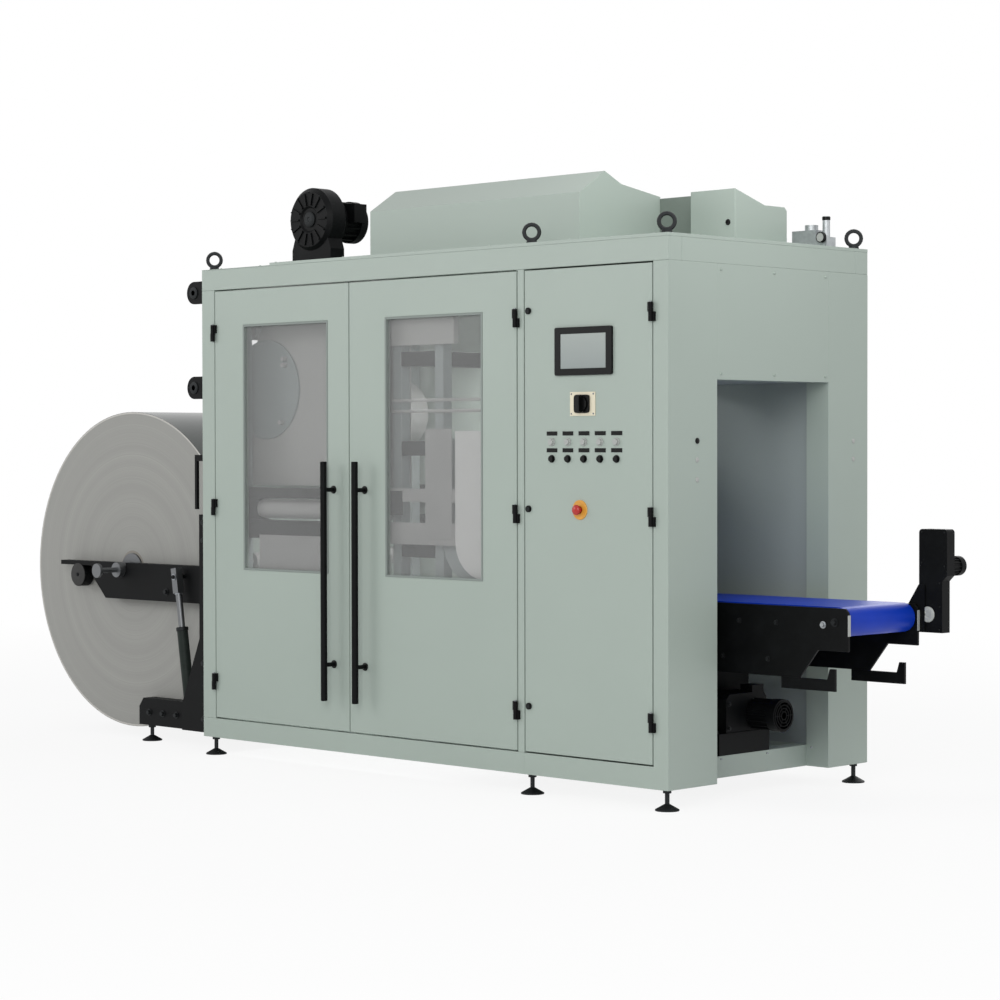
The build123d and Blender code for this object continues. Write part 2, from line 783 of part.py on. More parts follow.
with BuildPart() as unwinder_base:
    for y in (near_rail_y, far_rail_y):
        plate_y(
            [
                (base_rail_start, base_rail_bottom), (left, base_rail_bottom), (left, base_rail_top),
                (base_rail_start + 30, base_rail_top), (base_rail_start, base_rail_top - 40),
            ],
            y, y + base_rail_width,
        )
    disc_y(*barrel_foot, eye_pin_radius, near_cylinder_y - clevis_width / 2 - pin_head, near_rail_y)
    disc_y(
        *barrel_foot, eye_pin_radius, far_rail_y + base_rail_width,
        far_cylinder_y + clevis_width / 2 + pin_head,
    )
save(unwinder_base, "unwinder_base")

# Discharge conveyor
belt_start_x = mid_post_end - belt_lead_in
belt_end_x = right + belt_reach
belt_front = front + 420
belt_back = belt_front + belt_width
end_roller_x = belt_end_x - roller_radius - belt_thickness
start_roller_x = belt_start_x + roller_radius + belt_thickness
roller_z = belt_top - belt_thickness - roller_radius
with BuildPart() as conveyor_belt:
    with BuildSketch(Plane.XZ.offset(-belt_front)):
        with Locations(((start_roller_x + end_roller_x) / 2, roller_z)):
            SlotCenterToCenter(end_roller_x - start_roller_x, 2 * (roller_radius + belt_thickness))
            SlotCenterToCenter(end_roller_x - start_roller_x, 2 * roller_radius, mode=Mode.SUBTRACT)
    extrude(amount=-belt_width)
save(conveyor_belt, "conveyor_belt")

plate_front = belt_front - side_gap - side_plate_thickness
plate_back = belt_back + side_gap + side_plate_thickness
inner_front = plate_front + side_plate_thickness
inner_back = plate_back - side_plate_thickness
plate_bottom = belt_top - 163
plate_top = belt_top - 4
axle_radius = 16
with BuildPart() as conveyor_rollers:
    for x in (start_roller_x, end_roller_x):
        disc_y(x, roller_z, roller_radius - 0.3, belt_front, belt_back)
        hexagon_y(x, roller_z, axle_radius, inner_front, inner_back)
save(conveyor_rollers, "conveyor_rollers")

# Each side plate is deeper over the stand and slopes up to the overhanging end.
stand_x0 = mid_post_end + 268
stand_x1 = stand_x0 + 230
skirt_depth = 108
skirt_bottom = plate_bottom - skirt_depth
skirt_start = stand_x0 + 40
skirt_end = right + 304
skirt_slope = 85
plate_nose = 15
frame_end_x = belt_end_x + 6
with BuildPart() as conveyor_side_plates:
    for y in (plate_front, inner_back):
        plate_y(
            [
                (start_roller_x - roller_radius, plate_bottom), (skirt_start, plate_bottom),
                (skirt_start + skirt_slope, skirt_bottom), (skirt_end, skirt_bottom),
                (skirt_end + skirt_slope, plate_bottom), (frame_end_x, plate_bottom),
                (frame_end_x, plate_top - plate_nose), (frame_end_x - plate_nose, plate_top),
                (start_roller_x - roller_radius, plate_top),
            ],
            y, y + side_plate_thickness,
        )
save(conveyor_side_plates, "conveyor_side_plates")

bed_gap = 6
with BuildPart() as conveyor_bed:
    block(
        start_roller_x + roller_radius + bed_gap, end_roller_x - roller_radius - bed_gap,
        inner_front, inner_back, roller_z - roller_radius + bed_gap, roller_z + roller_radius - 0.3,
    )
save(conveyor_bed, "conveyor_bed")

# Belt drive at the far end: a guard with a narrower foot on a bracket, and a motor behind it
cover_x0 = belt_end_x
cover_x1 = cover_x0 + 128
cover_z0 = belt_top - 112
cover_z1 = cover_z0 + 394
cover_step = 22
cover_step_z = cover_z0 + 196
cover_gap = 6
cover_thickness = 50
cover_round = 14
bracket_thickness_y = 40
with BuildPart() as drive_cover:
    plate_y(
        [
            (cover_x0, cover_z0), (cover_x1 - cover_step, cover_z0), (cover_x1 - cover_step, cover_step_z),
            (cover_x1, cover_step_z + cover_step), (cover_x1, cover_z1), (cover_x0, cover_z1),
        ],
        plate_back + cover_gap, plate_back + cover_gap + cover_thickness,
    )
    fillet(drive_cover.edges().filter_by(Axis.Y).group_by(Axis.Z)[-1], cover_round)
    plate_y(
        [
            (cover_x0 - 100, cover_z0 + 4), (cover_x0 - 100, plate_top - 10), (cover_x0 - 45, plate_top),
            (cover_x0 + 2, plate_top + 74), (cover_x0 + 30, plate_top + 74), (cover_x0 + 30, cover_z0 + 4),
        ],
        plate_back, plate_back + bracket_thickness_y,
    )
save(drive_cover, "drive_cover")

drive_radius = 38
drive_length = 95
with BuildPart() as drive_motor:
    drive_seat = (cover_x1 - 48, plate_back + cover_gap + cover_thickness, cover_z1 - 143)
    finned_motor(Plane(origin=drive_seat, x_dir=(1, 0, 0), z_dir=(0, 1, 0)), drive_radius, drive_length)
save(drive_motor, "drive_motor")

# Bag guides: a bar with an upturned tip, under each side plate
guide_bar_height = 43
guide_bar_start = right + 218
guide_bar_end = guide_bar_start + 251
tip_width = 24
tip_rise = 40
guide_bar_bottom = skirt_bottom - guide_bar_height
tip_top = skirt_bottom + tip_rise
with BuildPart() as bag_guide_bars:
    for y in (plate_front, inner_back):
        plate_y(
            [
                (guide_bar_start, skirt_bottom), (guide_bar_end - tip_width - 12, skirt_bottom),
                (guide_bar_end - tip_width, tip_top), (guide_bar_end, tip_top),
                (guide_bar_end, guide_bar_bottom), (guide_bar_start, guide_bar_bottom),
            ],
            y, y + side_plate_thickness,
        )
save(bag_guide_bars, "bag_guide_bars")

stand_front, stand_back = front + 470, front + 780
stand_head = 30
sole_height = 40
with BuildPart() as conveyor_stand:
    block(
        mid_post_end, threshold_end - post_size, stand_front - 30, stand_back + 30,
        cabinet_bottom, cabinet_bottom + sole_height,
    )
    block(
        stand_x0, stand_x1, stand_front, stand_back, cabinet_bottom + sole_height, plate_bottom - stand_head,
    )
    block(stand_x0, stand_x1, inner_front, inner_back, plate_bottom - stand_head, plate_bottom)
save(conveyor_stand, "conveyor_stand")

# Lift drive: a gearbox on a bed across the threshold, its terminal box and its motor
gear_y, gear_z = front + 660, rail_top + 150
gear_radius = 64
gearbox_length = 130
motor_reach = 140
gearbox_x = stand_x1 + gearbox_length
with BuildPart() as lift_gearmotor:
    block(stand_x1, threshold_end, gear_y - 230, gear_y + 80, rail_top, rail_top + 84)
    block(stand_x1, gearbox_x, gear_y - 180, gear_y + 70, rail_top + 84, gear_z + 84)
    chamfer(lift_gearmotor.edges().filter_by(Axis.X).group_by(Axis.Z)[-1], 20)
    block(gearbox_x - 60, gearbox_x, gear_y - 20, gear_y + 50, gear_z + 84, gear_z + 112)
    finned_motor(
        Plane(origin=(gearbox_x, gear_y, gear_z), x_dir=(0, 1, 0), z_dir=(1, 0, 0)), gear_radius, motor_reach,
    )
save(lift_gearmotor, "lift_gearmotor")

# Mechanism behind the windows
beam_depth = 40
beam_front = front + leaf_thickness + 12
beam_back = back - leaf_thickness - 12
beam_levels = [(1145, 1190), (970, 1050)]
post_inner_left = left + front_post_width
with BuildPart() as inner_beams:
    for z0, z1 in beam_levels:
        block(post_inner_left, mid_post_start, beam_front, beam_front + beam_depth - 2, z0, z1)
        block(left + post_size, mid_post_start, beam_back - beam_depth + 2, beam_back, z0, z1)
    block(left + 200, left + 300, beam_front + beam_depth - 2, beam_front + 90, 970, 1190)
save(inner_beams, "inner_beams")

upright = 50
upright_front = beam_front + beam_depth - 2
upright_back = beam_back - beam_depth + 2
film_x = left + 140
seal_x = (left + 1150, left + 1400)
with BuildPart() as inner_uprights:
    for x in (film_x, *seal_x):
        block(x, x + upright, upright_front, upright_front + upright, 300, 1950)
        block(x, x + upright, upright_back - upright, upright_back, 300, 1950)
save(inner_uprights, "inner_uprights")

film_roller_x = film_x + upright / 2
roller_front = upright_front + upright
roller_back = upright_back - upright
with BuildPart() as film_rollers:
    for z, radius in ((1520, 150), (1290, 38), (1760, 38), (1880, 38), (860, 38)):
        disc_y(film_roller_x, z, radius, roller_front + 15, roller_back - 15)
        hexagon_y(film_roller_x, z, 15, roller_front, roller_back)
    disc_x(beam_front + 62, 1098, 42, left + 300, left + 1100)
save(film_rollers, "film_rollers")

with BuildPart() as seal_bars:
    for z in (910, 1330, 1700):
        block(seal_x[0] + upright, seal_x[1], upright_front, upright_front + 40, z, z + 60)
        block(seal_x[0] + upright, seal_x[1], upright_back - 40, upright_back, z, z + 60)
        block(seal_x[0] + 90, seal_x[1] - 40, upright_front + 40, upright_back - 40, z, z + 60)
save(seal_bars, "seal_bars")

chute_start = seal_x[1] + upright
chute_end = mid_post_start - 60
with BuildPart() as filling_chute:
    with BuildSketch(Plane.XZ.offset(-upright_front)):
        with BuildLine():
            Line((chute_start, 1400), (chute_start, 980))
            RadiusArc((chute_start, 980), (chute_start + 160, 820), -160)
            Line((chute_start + 160, 820), (chute_end, 820))
            Line((chute_end, 820), (chute_end, 1400))
            Line((chute_end, 1400), (chute_start, 1400))
        make_face()
    extrude(amount=-(upright_back - upright_front))
save(filling_chute, "filling_chute")
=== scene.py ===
"""Form, fill and seal machine: the finish of its parts and the small pieces fitted to them.

Lengths are metres in the machine's own frame. X runs from the film reel to the discharge belt,
Y from the doors to the back, and Z is up.
"""
import math

import bmesh
import bpy
from mathutils import Matrix, Vector


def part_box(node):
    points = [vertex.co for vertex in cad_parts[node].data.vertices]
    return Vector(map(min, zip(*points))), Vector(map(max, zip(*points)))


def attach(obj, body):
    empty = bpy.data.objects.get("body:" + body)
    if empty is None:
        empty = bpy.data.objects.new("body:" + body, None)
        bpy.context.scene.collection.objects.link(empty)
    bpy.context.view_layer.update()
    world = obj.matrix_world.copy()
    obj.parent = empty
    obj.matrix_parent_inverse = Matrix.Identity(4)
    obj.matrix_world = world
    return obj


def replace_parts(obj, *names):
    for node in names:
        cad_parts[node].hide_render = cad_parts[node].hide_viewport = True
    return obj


bl_info = {
    "name": "Form Fill Seal Machine",
    "version": (1, 0, 0),
    "blender": (4, 5, 0),
    "location": "View3D > Sidebar > Machine",
    "description": "Finishes the machine's parts and adds its screws, seals, controls and studio",
    "category": "Object",
}

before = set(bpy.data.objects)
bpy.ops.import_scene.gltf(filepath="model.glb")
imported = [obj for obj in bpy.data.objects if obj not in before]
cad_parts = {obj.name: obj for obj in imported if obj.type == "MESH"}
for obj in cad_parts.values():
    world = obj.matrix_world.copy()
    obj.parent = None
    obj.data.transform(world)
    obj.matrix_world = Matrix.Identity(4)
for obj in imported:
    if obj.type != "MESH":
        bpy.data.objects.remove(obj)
bpy.context.view_layer.update()

X_AXIS = Vector((1, 0, 0))
Y_AXIS = Vector((0, 1, 0))
Z_AXIS = Vector((0, 0, 1))
SIDES = 32
SMOOTH_ANGLE = math.radians(35)
BEVEL_ANGLE = math.radians(40)
MM = 0.001
# The lift motor's shaft runs along X at this Y and Z.
LIFT_MOTOR = (0.620, 0.315)


def linear(hex_text):
    """Turns an sRGB hex colour into the linear colour that a shader takes."""
    parts = [int(hex_text[i : i + 2], 16) / 255 for i in (0, 2, 4)]
    return tuple(p / 12.92 if p <= 0.04045 else ((p + 0.055) / 1.055) ** 2.4 for p in parts)


def colour(hex_text):
    """Gives a linear colour with full cover."""
    return (*linear(hex_text), 1.0)


def tint(name, description, hex_text):
    """Describes a colour that a user can change."""
    return bpy.props.FloatVectorProperty(
        name=name, description=description, subtype="COLOR", size=3, min=0, max=1, default=linear(hex_text)
    )


def length(name, description, metres):
    """Describes a length that a user can change."""
    return bpy.props.FloatProperty(
        name=name, description=description, subtype="DISTANCE", unit="LENGTH", min=0, default=metres
    )


class MachineColours(bpy.types.PropertyGroup):
    """The paints and plastics that a buyer would choose."""

    housing: tint("Housing", "Powder coat on the frame, doors and hoods", "A6B2AA")
    # The lining is the housing's paint drawn darker and bluer: painted shade inside the tunnel and the
    # cabinet.
    lining: tint("Lining", "Powder coat inside the discharge tunnel and the cabinet", "97A09F")
    fittings: tint("Fittings", "Black enamel on arms, conveyor frame and drives", "08090A")
    belt: tint("Belt", "Top cover of the discharge belt", "0535AE")
    window: tint("Window", "Smoked window panes", "B1B2B2")
    film: tint("Film", "Cut edges of the wound film", "989894")
    stop: tint("Stop", "Mushroom head of the emergency stop", "B3201A")
    plate: tint("Plate", "Plate behind the main switch", "E4DCC4")
    collar: tint("Collar", "Collar of the emergency stop", "DC9E3A")
    # The duct's dark grey is painted shade: it stands for the shadowed gap between the hoods.
    duct: tint("Duct", "Paint on the duct between the hoods", "7C867F")


class MachineSizes(bpy.types.PropertyGroup):
    """The small sizes that repeat over the machine."""

    screw: length("Screw head", "Width of a panel screw's head", 0.011)
    bolt: length("Bolt head", "Width across the flats of a frame bolt", 0.019)
    seal: length("Window seal", "Width of the rubber round each window", 0.009)
    edge: length("Edge", "Rounding of folded sheet edges", 0.0022)
    thin_edge: length("Thin edge", "Rounding of thin sheet edges", 0.0008)


def add(tree, kind, inputs=None, **settings):
    """Adds a node, gives it its settings, and fills or links its inputs."""
    node = tree.nodes.new(kind)
    for name, value in settings.items():
        setattr(node, name, value)
    for name, value in (inputs or {}).items():
        if isinstance(value, bpy.types.NodeSocket):
            tree.links.new(value, node.inputs[name])
        else:
            node.inputs[name].default_value = value
    return node


def empty_tree(owner):
    """Gives a material or a world a node tree with nothing in it."""
    owner.use_nodes = True
    owner.node_tree.nodes.clear()
    return owner.node_tree


def new_material(name, **constants):
    """Makes a material with one shader and sets the shader's constant inputs."""
    material = bpy.data.materials.new(name)
    tree = empty_tree(material)
    shader = add(tree, "ShaderNodeBsdfPrincipled")
    for socket, value in constants.items():
        shader.inputs[socket.replace("_", " ").title().replace("Ior", "IOR")].default_value = value
    add(tree, "ShaderNodeOutputMaterial", {"Surface": shader.outputs[0]})
    place = add(tree, "ShaderNodeTexCoord").outputs["Object"]
    return material, tree, shader, place


def shade(base, factor):
    """Gives a darker or lighter cover of a linear colour."""
    return (*(min(1.0, part * factor) for part in base), 1.0)


def mottled(name, covers, scale, detail, **constants):
    """Makes a material whose colour drifts between two covers, in patches of one scale."""
    material, tree, shader, place = new_material(name, **constants)
    patches = add(tree, "ShaderNodeTexNoise", {"Vector": place, "Scale": scale, "Detail": detail})
    mixed = add(
        tree, "ShaderNodeMix", {0: patches.outputs[0], 6: covers[0], 7: covers[1]}, data_type="RGBA"
    )
    tree.links.new(mixed.outputs[2], shader.inputs["Base Color"])
    return material, tree, shader, place, patches.outputs[0]


def powder_coat(name, base, roughness=0.4):
    """Powder-coated sheet steel, sprayed and baked: satin, with a fine orange peel and a slight wave."""
    material, tree, shader, place, _ = mottled(
        name, (shade(base, 0.965), shade(base, 1.035)), 1.6, 2.0,
        roughness=roughness, ior=1.5, specular_ior_level=0.4,
    )
    # The sheet waves by a fraction of a millimetre over about 250 mm.
    wave = add(tree, "ShaderNodeTexNoise", {"Vector": place, "Scale": 1 / 0.25, "Detail": 1.0})
    sheet = add(tree, "ShaderNodeBump", {"Height": wave.outputs[0], "Strength": 0.12, "Distance": 0.004})
    # Orange peel is about 2 mm across and is drawn at 4 mm, so that it shows.
    peel = add(tree, "ShaderNodeTexNoise", {"Vector": place, "Scale": 1 / 0.004, "Detail": 2.0})
    skin = add(
        tree, "ShaderNodeBump",
        {"Height": peel.outputs[0], "Strength": 0.08, "Distance": 0.0006, "Normal": sheet.outputs[0]},
    )
    tree.links.new(skin.outputs[0], shader.inputs["Normal"])
    return material


def black_enamel(name, base, roughness=0.42, dust_hex="17191A"):
    """Sprayed enamel on steel plate and castings, mostly black: satin, a little dusty on its faces."""
    material, tree, shader, place = new_material(name, roughness=roughness, ior=1.5, specular_ior_level=0.1)
    dust = add(tree, "ShaderNodeTexNoise", {"Vector": place, "Scale": 14.0, "Detail": 5.0, "Roughness": 0.65})
    worn = add(tree, "ShaderNodeMapRange", {"Value": dust.outputs[0], 1: 0.45, 2: 0.8, 3: 0.0, 4: 0.5})
    paint = add(
        tree, "ShaderNodeMix", {0: worn.outputs[0], 6: (*base, 1.0), 7: colour(dust_hex)}, data_type="RGBA"
    )
    tree.links.new(paint.outputs[2], shader.inputs["Base Color"])
    smooth, dull = roughness - 0.06, roughness + 0.2
    rough = add(tree, "ShaderNodeMapRange", {"Value": dust.outputs[0], 3: smooth, 4: dull})
    tree.links.new(rough.outputs[0], shader.inputs["Roughness"])
    # Dust and spray leave a grit about 3 mm apart.
    grit = add(tree, "ShaderNodeTexNoise", {"Vector": place, "Scale": 1 / 0.003, "Detail": 3.0})
    skin = add(tree, "ShaderNodeBump", {"Height": grit.outputs[0], "Strength": 0.12, "Distance": 0.0005})
    tree.links.new(skin.outputs[0], shader.inputs["Normal"])
    return material


def smoked_polycarbonate(name, base):
    """Extruded smoked polycarbonate, 6 mm: a grey haze over what is behind it, with a clean reflection."""
    material, tree, shader, place, _ = mottled(
        name, (shade(base, 0.95), shade(base, 1.06)), 3.0, 3.0,
        roughness=0.12, ior=1.58, alpha=0.23, specular_ior_level=0.25,
    )
    # The pane bows by a hair over about 350 mm, which bends its reflection.
    wave = add(tree, "ShaderNodeTexNoise", {"Vector": place, "Scale": 1 / 0.35, "Detail": 0.0})
    bow = add(tree, "ShaderNodeBump", {"Height": wave.outputs[0], "Strength": 0.1, "Distance": 0.003})
    tree.links.new(bow.outputs[0], shader.inputs["Normal"])
    return material


def ground_steel(name, shade_hex="A2A4A6", roughness=0.36):
    """Steel bar, turned and ground: bright, with fine lines round bars that lie along Y."""
    material, tree, shader, place = new_material(name, metallic=1.0, roughness=roughness)
    # Tool marks are tenths of a millimetre apart and are drawn about 2 mm apart.
    lines = add(tree, "ShaderNodeMapping", {"Vector": place, "Scale": (3.0, 1 / 0.002, 3.0)})
    marks = add(tree, "ShaderNodeTexNoise", {"Vector": lines.outputs[0], "Scale": 1.0, "Detail": 2.0})
    steel = linear(shade_hex)
    metal = add(
        tree, "ShaderNodeMix", {0: marks.outputs[0], 6: shade(steel, 0.96), 7: shade(steel, 1.04)},
        data_type="RGBA",
    )
    tree.links.new(metal.outputs[2], shader.inputs["Base Color"])
    bright, dull = roughness - 0.03, roughness + 0.05
    rough = add(tree, "ShaderNodeMapRange", {"Value": marks.outputs[0], 3: bright, 4: dull})
    tree.links.new(rough.outputs[0], shader.inputs["Roughness"])
    return material


def zinc_plate(name, shade_hex="8E9296", roughness=0.42):
    """Plated, cast or anodised metal, left as treated: dull, with soft darker patches."""
    metal = linear(shade_hex)
    return mottled(
        name, (shade(metal, 0.72), shade(metal, 1.15)), 60.0, 4.0, metallic=0.9, roughness=roughness
    )[0]


def moulded(name, base, roughness=0.38, gloss=0.5):
    """Moulded ABS or silicone: even colour, with the mould's spark-eroded grain of about a millimetre."""
    material, tree, shader, _, grain = mottled(
        name, (shade(base, 0.93), shade(base, 1.07)), 1 / 0.0012, 2.0,
        roughness=roughness, ior=1.52, specular_ior_level=gloss,
    )
    skin = add(tree, "ShaderNodeBump", {"Height": grain, "Strength": 0.1, "Distance": 0.0002})
    tree.links.new(skin.outputs[0], shader.inputs["Normal"])
    return material


def black_rubber(name):
    """Extruded EPDM rubber: matt black with a dry bloom."""
    return mottled(name, (colour("151515"), colour("2B2B2A")), 45.0, 4.0, roughness=0.72, ior=1.5)[0]


def belt_cover(name, base):
    """Blue PVC belting, calendered on fabric: smooth, with faint slanting waves where the fabric pulls."""
    material, tree, shader, place, _ = mottled(
        name, (shade(base, 0.85), shade(base, 1.18)), 7.0, 4.0,
        roughness=0.42, ior=1.5, specular_ior_level=0.2,
    )
    # At this scale the waves lie about 27 mm apart on the belt's level top.
    waves = add(
        tree, "ShaderNodeTexWave", {"Vector": place, "Scale": 50 / 3, "Distortion": 0.0},
        wave_type="BANDS", bands_direction="DIAGONAL",
    )
    skin = add(tree, "ShaderNodeBump", {"Height": waves.outputs[0], "Strength": 0.06, "Distance": 0.0003})
    tree.links.new(skin.outputs[0], shader.inputs["Normal"])
    return material


def wound_film(name, base):
    """Plastic film wound on a board core: layer rings on the ends, and a wrap outside painted dark as the
    shade on the reel's side.
    """
    low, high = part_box("film_reel")
    centre = (low + high) / 2
    radius = (high.x - low.x) / 2
    material, tree, shader, place = new_material(name, roughness=0.4, ior=1.5)
    offset = add(tree, "ShaderNodeVectorMath", {0: place, 1: centre}, operation="SUBTRACT")
    flat = add(tree, "ShaderNodeVectorMath", {0: offset.outputs[0], 1: (1, 0, 1)}, operation="MULTIPLY")
    reach = add(tree, "ShaderNodeVectorMath", {0: flat.outputs[0]}, operation="LENGTH").outputs["Value"]
    # Layers are tenths of a millimetre thick. Bands of a few millimetres show how the tension varied.
    bands = add(
        tree, "ShaderNodeTexNoise", {"W": reach, "Scale": 1 / 0.006, "Detail": 3.0, "Roughness": 0.6},
        noise_dimensions="1D",
    )
    broad = add(
        tree, "ShaderNodeTexNoise", {"W": reach, "Scale": 1 / 0.07, "Detail": 1.0}, noise_dimensions="1D"
    )
    both = add(tree, "ShaderNodeMath", {0: bands.outputs[0], 1: broad.outputs[0]}, operation="MULTIPLY")
    spread = add(tree, "ShaderNodeMapRange", {"Value": both.outputs[0], 1: 0.1, 2: 0.5})
    cover = add(
        tree, "ShaderNodeMix", {0: spread.outputs[0], 6: shade(base, 0.9), 7: shade(base, 1.08)},
        data_type="RGBA",
    )
    # The last layers are pale, the board core shows in the middle, and a wrap painted dark with the reel
    # side's shade goes round it all.
    for limit, beyond, hex_text in (
        (radius - 9 * MM, "GREATER_THAN", "BDBBB6"),
        (88 * MM, "LESS_THAN", "86827A"),
        # Painted shade: the wrap's dark colour stands for the shade on the reel's side.
        (radius - 1.2 * MM, "GREATER_THAN", "3C4440"),
    ):
        part = add(tree, "ShaderNodeMath", {0: reach, 1: limit}, operation=beyond).outputs[0]
        cover = add(
            tree, "ShaderNodeMix", {0: part, 6: cover.outputs[2], 7: colour(hex_text)}, data_type="RGBA"
        )
    tree.links.new(cover.outputs[2], shader.inputs["Base Color"])
    # The wrap, which is the last of these parts, is glossier than the cut ends.
    gloss = add(tree, "ShaderNodeMapRange", {"Value": part, 3: 0.5, 4: 0.22})
    tree.links.new(gloss.outputs[0], shader.inputs["Roughness"])
    steps = add(tree, "ShaderNodeBump", {"Height": bands.outputs[0], "Strength": 0.25, "Distance": 0.0012})
    tree.links.new(steps.outputs[0], shader.inputs["Normal"])
    return material


def display_glass(name):
    """Touch panel: clear cover glass over a pale grey display, with light painted in that makes it brighter
    towards the top.
    """
    low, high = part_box("operator_screen")
    material, tree, shader, place = new_material(name, roughness=0.12, ior=1.5, coat_weight=0.6)
    height = add(tree, "ShaderNodeSeparateXYZ", {0: place})
    rise = add(tree, "ShaderNodeMapRange", {"Value": height.outputs["Z"], 1: low.z, 2: high.z})
    # Painted light: the display's colour rises from darker at the bottom to brighter at the top.
    glow = add(
        tree, "ShaderNodeMix", {0: rise.outputs[0], 6: colour("8C9594"), 7: colour("A3ABA7")},
        data_type="RGBA",
    )
    tree.links.new(glow.outputs[2], shader.inputs["Base Color"])
    return material


MATERIALS = {}


def make_materials(colours):
    """Makes each material once, from the colours that the user set."""
    finishes = {
        "powder_coated_steel": (powder_coat, colours.housing),
        # Painted shade: the lining is a darker, bluer copy of the housing paint.
        "powder_coated_lining": (powder_coat, colours.lining, 0.5),
        "grey_powder_coated_sheet": (powder_coat, linear("9C9C9A"), 0.5),
        "light_powder_coated_sheet": (powder_coat, linear("B0B0AD"), 0.5),
        "pale_powder_coated_guard": (powder_coat, linear("DADAD8"), 0.45),
        "black_enamelled_steel": (black_enamel, colours.fittings),
        "black_coated_hinge_steel": (black_enamel, linear("0C0C0D"), 0.45),
        # Painted shade: the duct's dark grey stands for the shadowed gap between the hoods.
        "grey_enamelled_duct": (black_enamel, colours.duct, 0.5, "828C85"),
        "green_enamelled_barrel": (black_enamel, linear("262C29"), 0.4, "3A423E"),
        "smoked_polycarbonate": (smoked_polycarbonate, colours.window),
        "ground_steel_bar": (ground_steel,),
        "dull_steel_bar": (ground_steel, "707274", 0.44),
        "zinc_plated_steel": (zinc_plate,),
        "phosphated_steel": (zinc_plate, "2C2E2F", 0.56),
        "cast_aluminium": (zinc_plate, "B4B8BA", 0.5),
        "anodised_aluminium": (zinc_plate, "A9ADB0", 0.34),
        "grey_silicone_covering": (moulded, linear("A4A4A2"), 0.6, 0.2),
        "grey_silicone_seal": (moulded, linear("8C9490"), 0.6, 0.2),
        "pale_silicone_sleeve": (moulded, linear("B4B4B2"), 0.6, 0.2),
        "moulded_cream_abs": (moulded, colours.plate),
        "moulded_amber_abs": (moulded, colours.collar),
        "moulded_black_abs": (moulded, linear("0A0B0B"), 0.38, 0.15),
        "moulded_grey_abs": (moulded, linear("A9ACA9")),
        "moulded_red_abs": (moulded, colours.stop, 0.25),
        "black_rubber": (black_rubber,),
        "blue_pvc_belting": (belt_cover, colours.belt),
        "wound_plastic_film": (wound_film, colours.film),
        "touch_panel_glass": (display_glass,),
    }
    for name, (make, *settings) in finishes.items():
        MATERIALS[name] = make(name, *settings)


def mm(*profile):
    """Turns a profile's (radius, distance along the axis) pairs from millimetres into metres."""
    return [(radius * MM, along * MM) for radius, along in profile]


def outward(near, far):
    """Pairs the Y of a near and a far face with the way each one faces."""
    return ((near, -Y_AXIS), (far, Y_AXIS))


def facing(point, axis):
    """Gives the matrix that stands a shape made along Z on a point, along an axis."""
    return Matrix.Translation(point) @ Vector(axis).to_track_quat("Z", "Y").to_matrix().to_4x4()


def add_block(mesh, low, high):
    """Adds a box between two corners."""
    low, high = Vector(low), Vector(high)
    size = high - low
    matrix = Matrix.Translation((low + high) / 2) @ Matrix.Diagonal((*size, 1.0))
    bmesh.ops.create_cube(mesh, size=1.0, matrix=matrix)


def add_lathe(mesh, foot, axis, profile, sides=SIDES):
    """Adds a turned shape from (radius, distance along the axis) pairs."""
    matrix = facing(foot, axis)
    rings = []
    for radius, along in profile:
        if radius < 1e-7:
            rings.append([mesh.verts.new(matrix @ Vector((0, 0, along)))])
            continue
        turns = [2 * math.pi * i / sides for i in range(sides)]
        points = [Vector((radius * math.cos(t), radius * math.sin(t), along)) for t in turns]
        rings.append([mesh.verts.new(matrix @ point) for point in points])
    for lower, upper in zip(rings, rings[1:]):
        for i in range(sides):
            j = (i + 1) % sides
            corners = ((lower, i), (lower, j), (upper, j), (upper, i))
            distinct = list(dict.fromkeys(ring[k % len(ring)] for ring, k in corners))
            if len(distinct) > 2:
                mesh.faces.new(distinct)
    for ring in (rings[0], rings[-1]):
        if len(ring) > 2:
            mesh.faces.new(ring)


def add_rod(mesh, start, end, radius, sides=SIDES):
    """Adds a round bar between two points."""
    start, end = Vector(start), Vector(end)
    add_lathe(mesh, start, end - start, [(radius, 0.0), (radius, (end - start).length)], sides)


def add_prism(mesh, outline, start, end, normal):
    """Adds a plate: outline points lie across the normal axis, which runs from start to end."""
    order = {"x": (1, 2, 0), "y": (0, 2, 1), "z": (0, 1, 2)}[normal]
    faces = []
    for level in (start, end):
        corners = []
        for u, v in outline:
            place = [0.0, 0.0, 0.0]
            place[order[0]], place[order[1]], place[order[2]] = u, v, level
            corners.append(mesh.verts.new(place))
        faces.append(corners)
        mesh.faces.new(corners)
    count = len(outline)
    for i in range(count):
        j = (i + 1) % count
        mesh.faces.new([faces[0][i], faces[0][j], faces[1][j], faces[1][i]])


def add_screw(mesh, point, axis, width):
    """Adds a button-head screw with a socket, its head this wide."""
    radius, rise = width / 2, width * 0.42
    # Each pair is a share of the head's radius and of its rise, from the bottom of the socket outwards.
    shares = ((0.0, 0.45), (0.42, 0.45), (0.42, 1.0), (0.72, 0.94), (1.0, 0.4), (1.0, 0.0))
    add_lathe(mesh, point, axis, [(radius * across, rise * up) for across, up in shares], 12)


def add_bolt(mesh, point, axis, width):
    """Adds a hexagon bolt head on its washer, this wide across the flats."""
    washer, thickness, top, corner = width * 0.85, width * 0.12, width * 0.6, width / math.sqrt(3)
    add_lathe(mesh, point, axis, [(washer, 0.0), (washer, thickness), (0.0, thickness)], 20)
    head = [(corner, 0.0), (corner, width * 0.5), (corner * 0.86, top), (0.0, top)]
    add_lathe(mesh, Vector(point) + Vector(axis) * thickness, axis, head, 6)


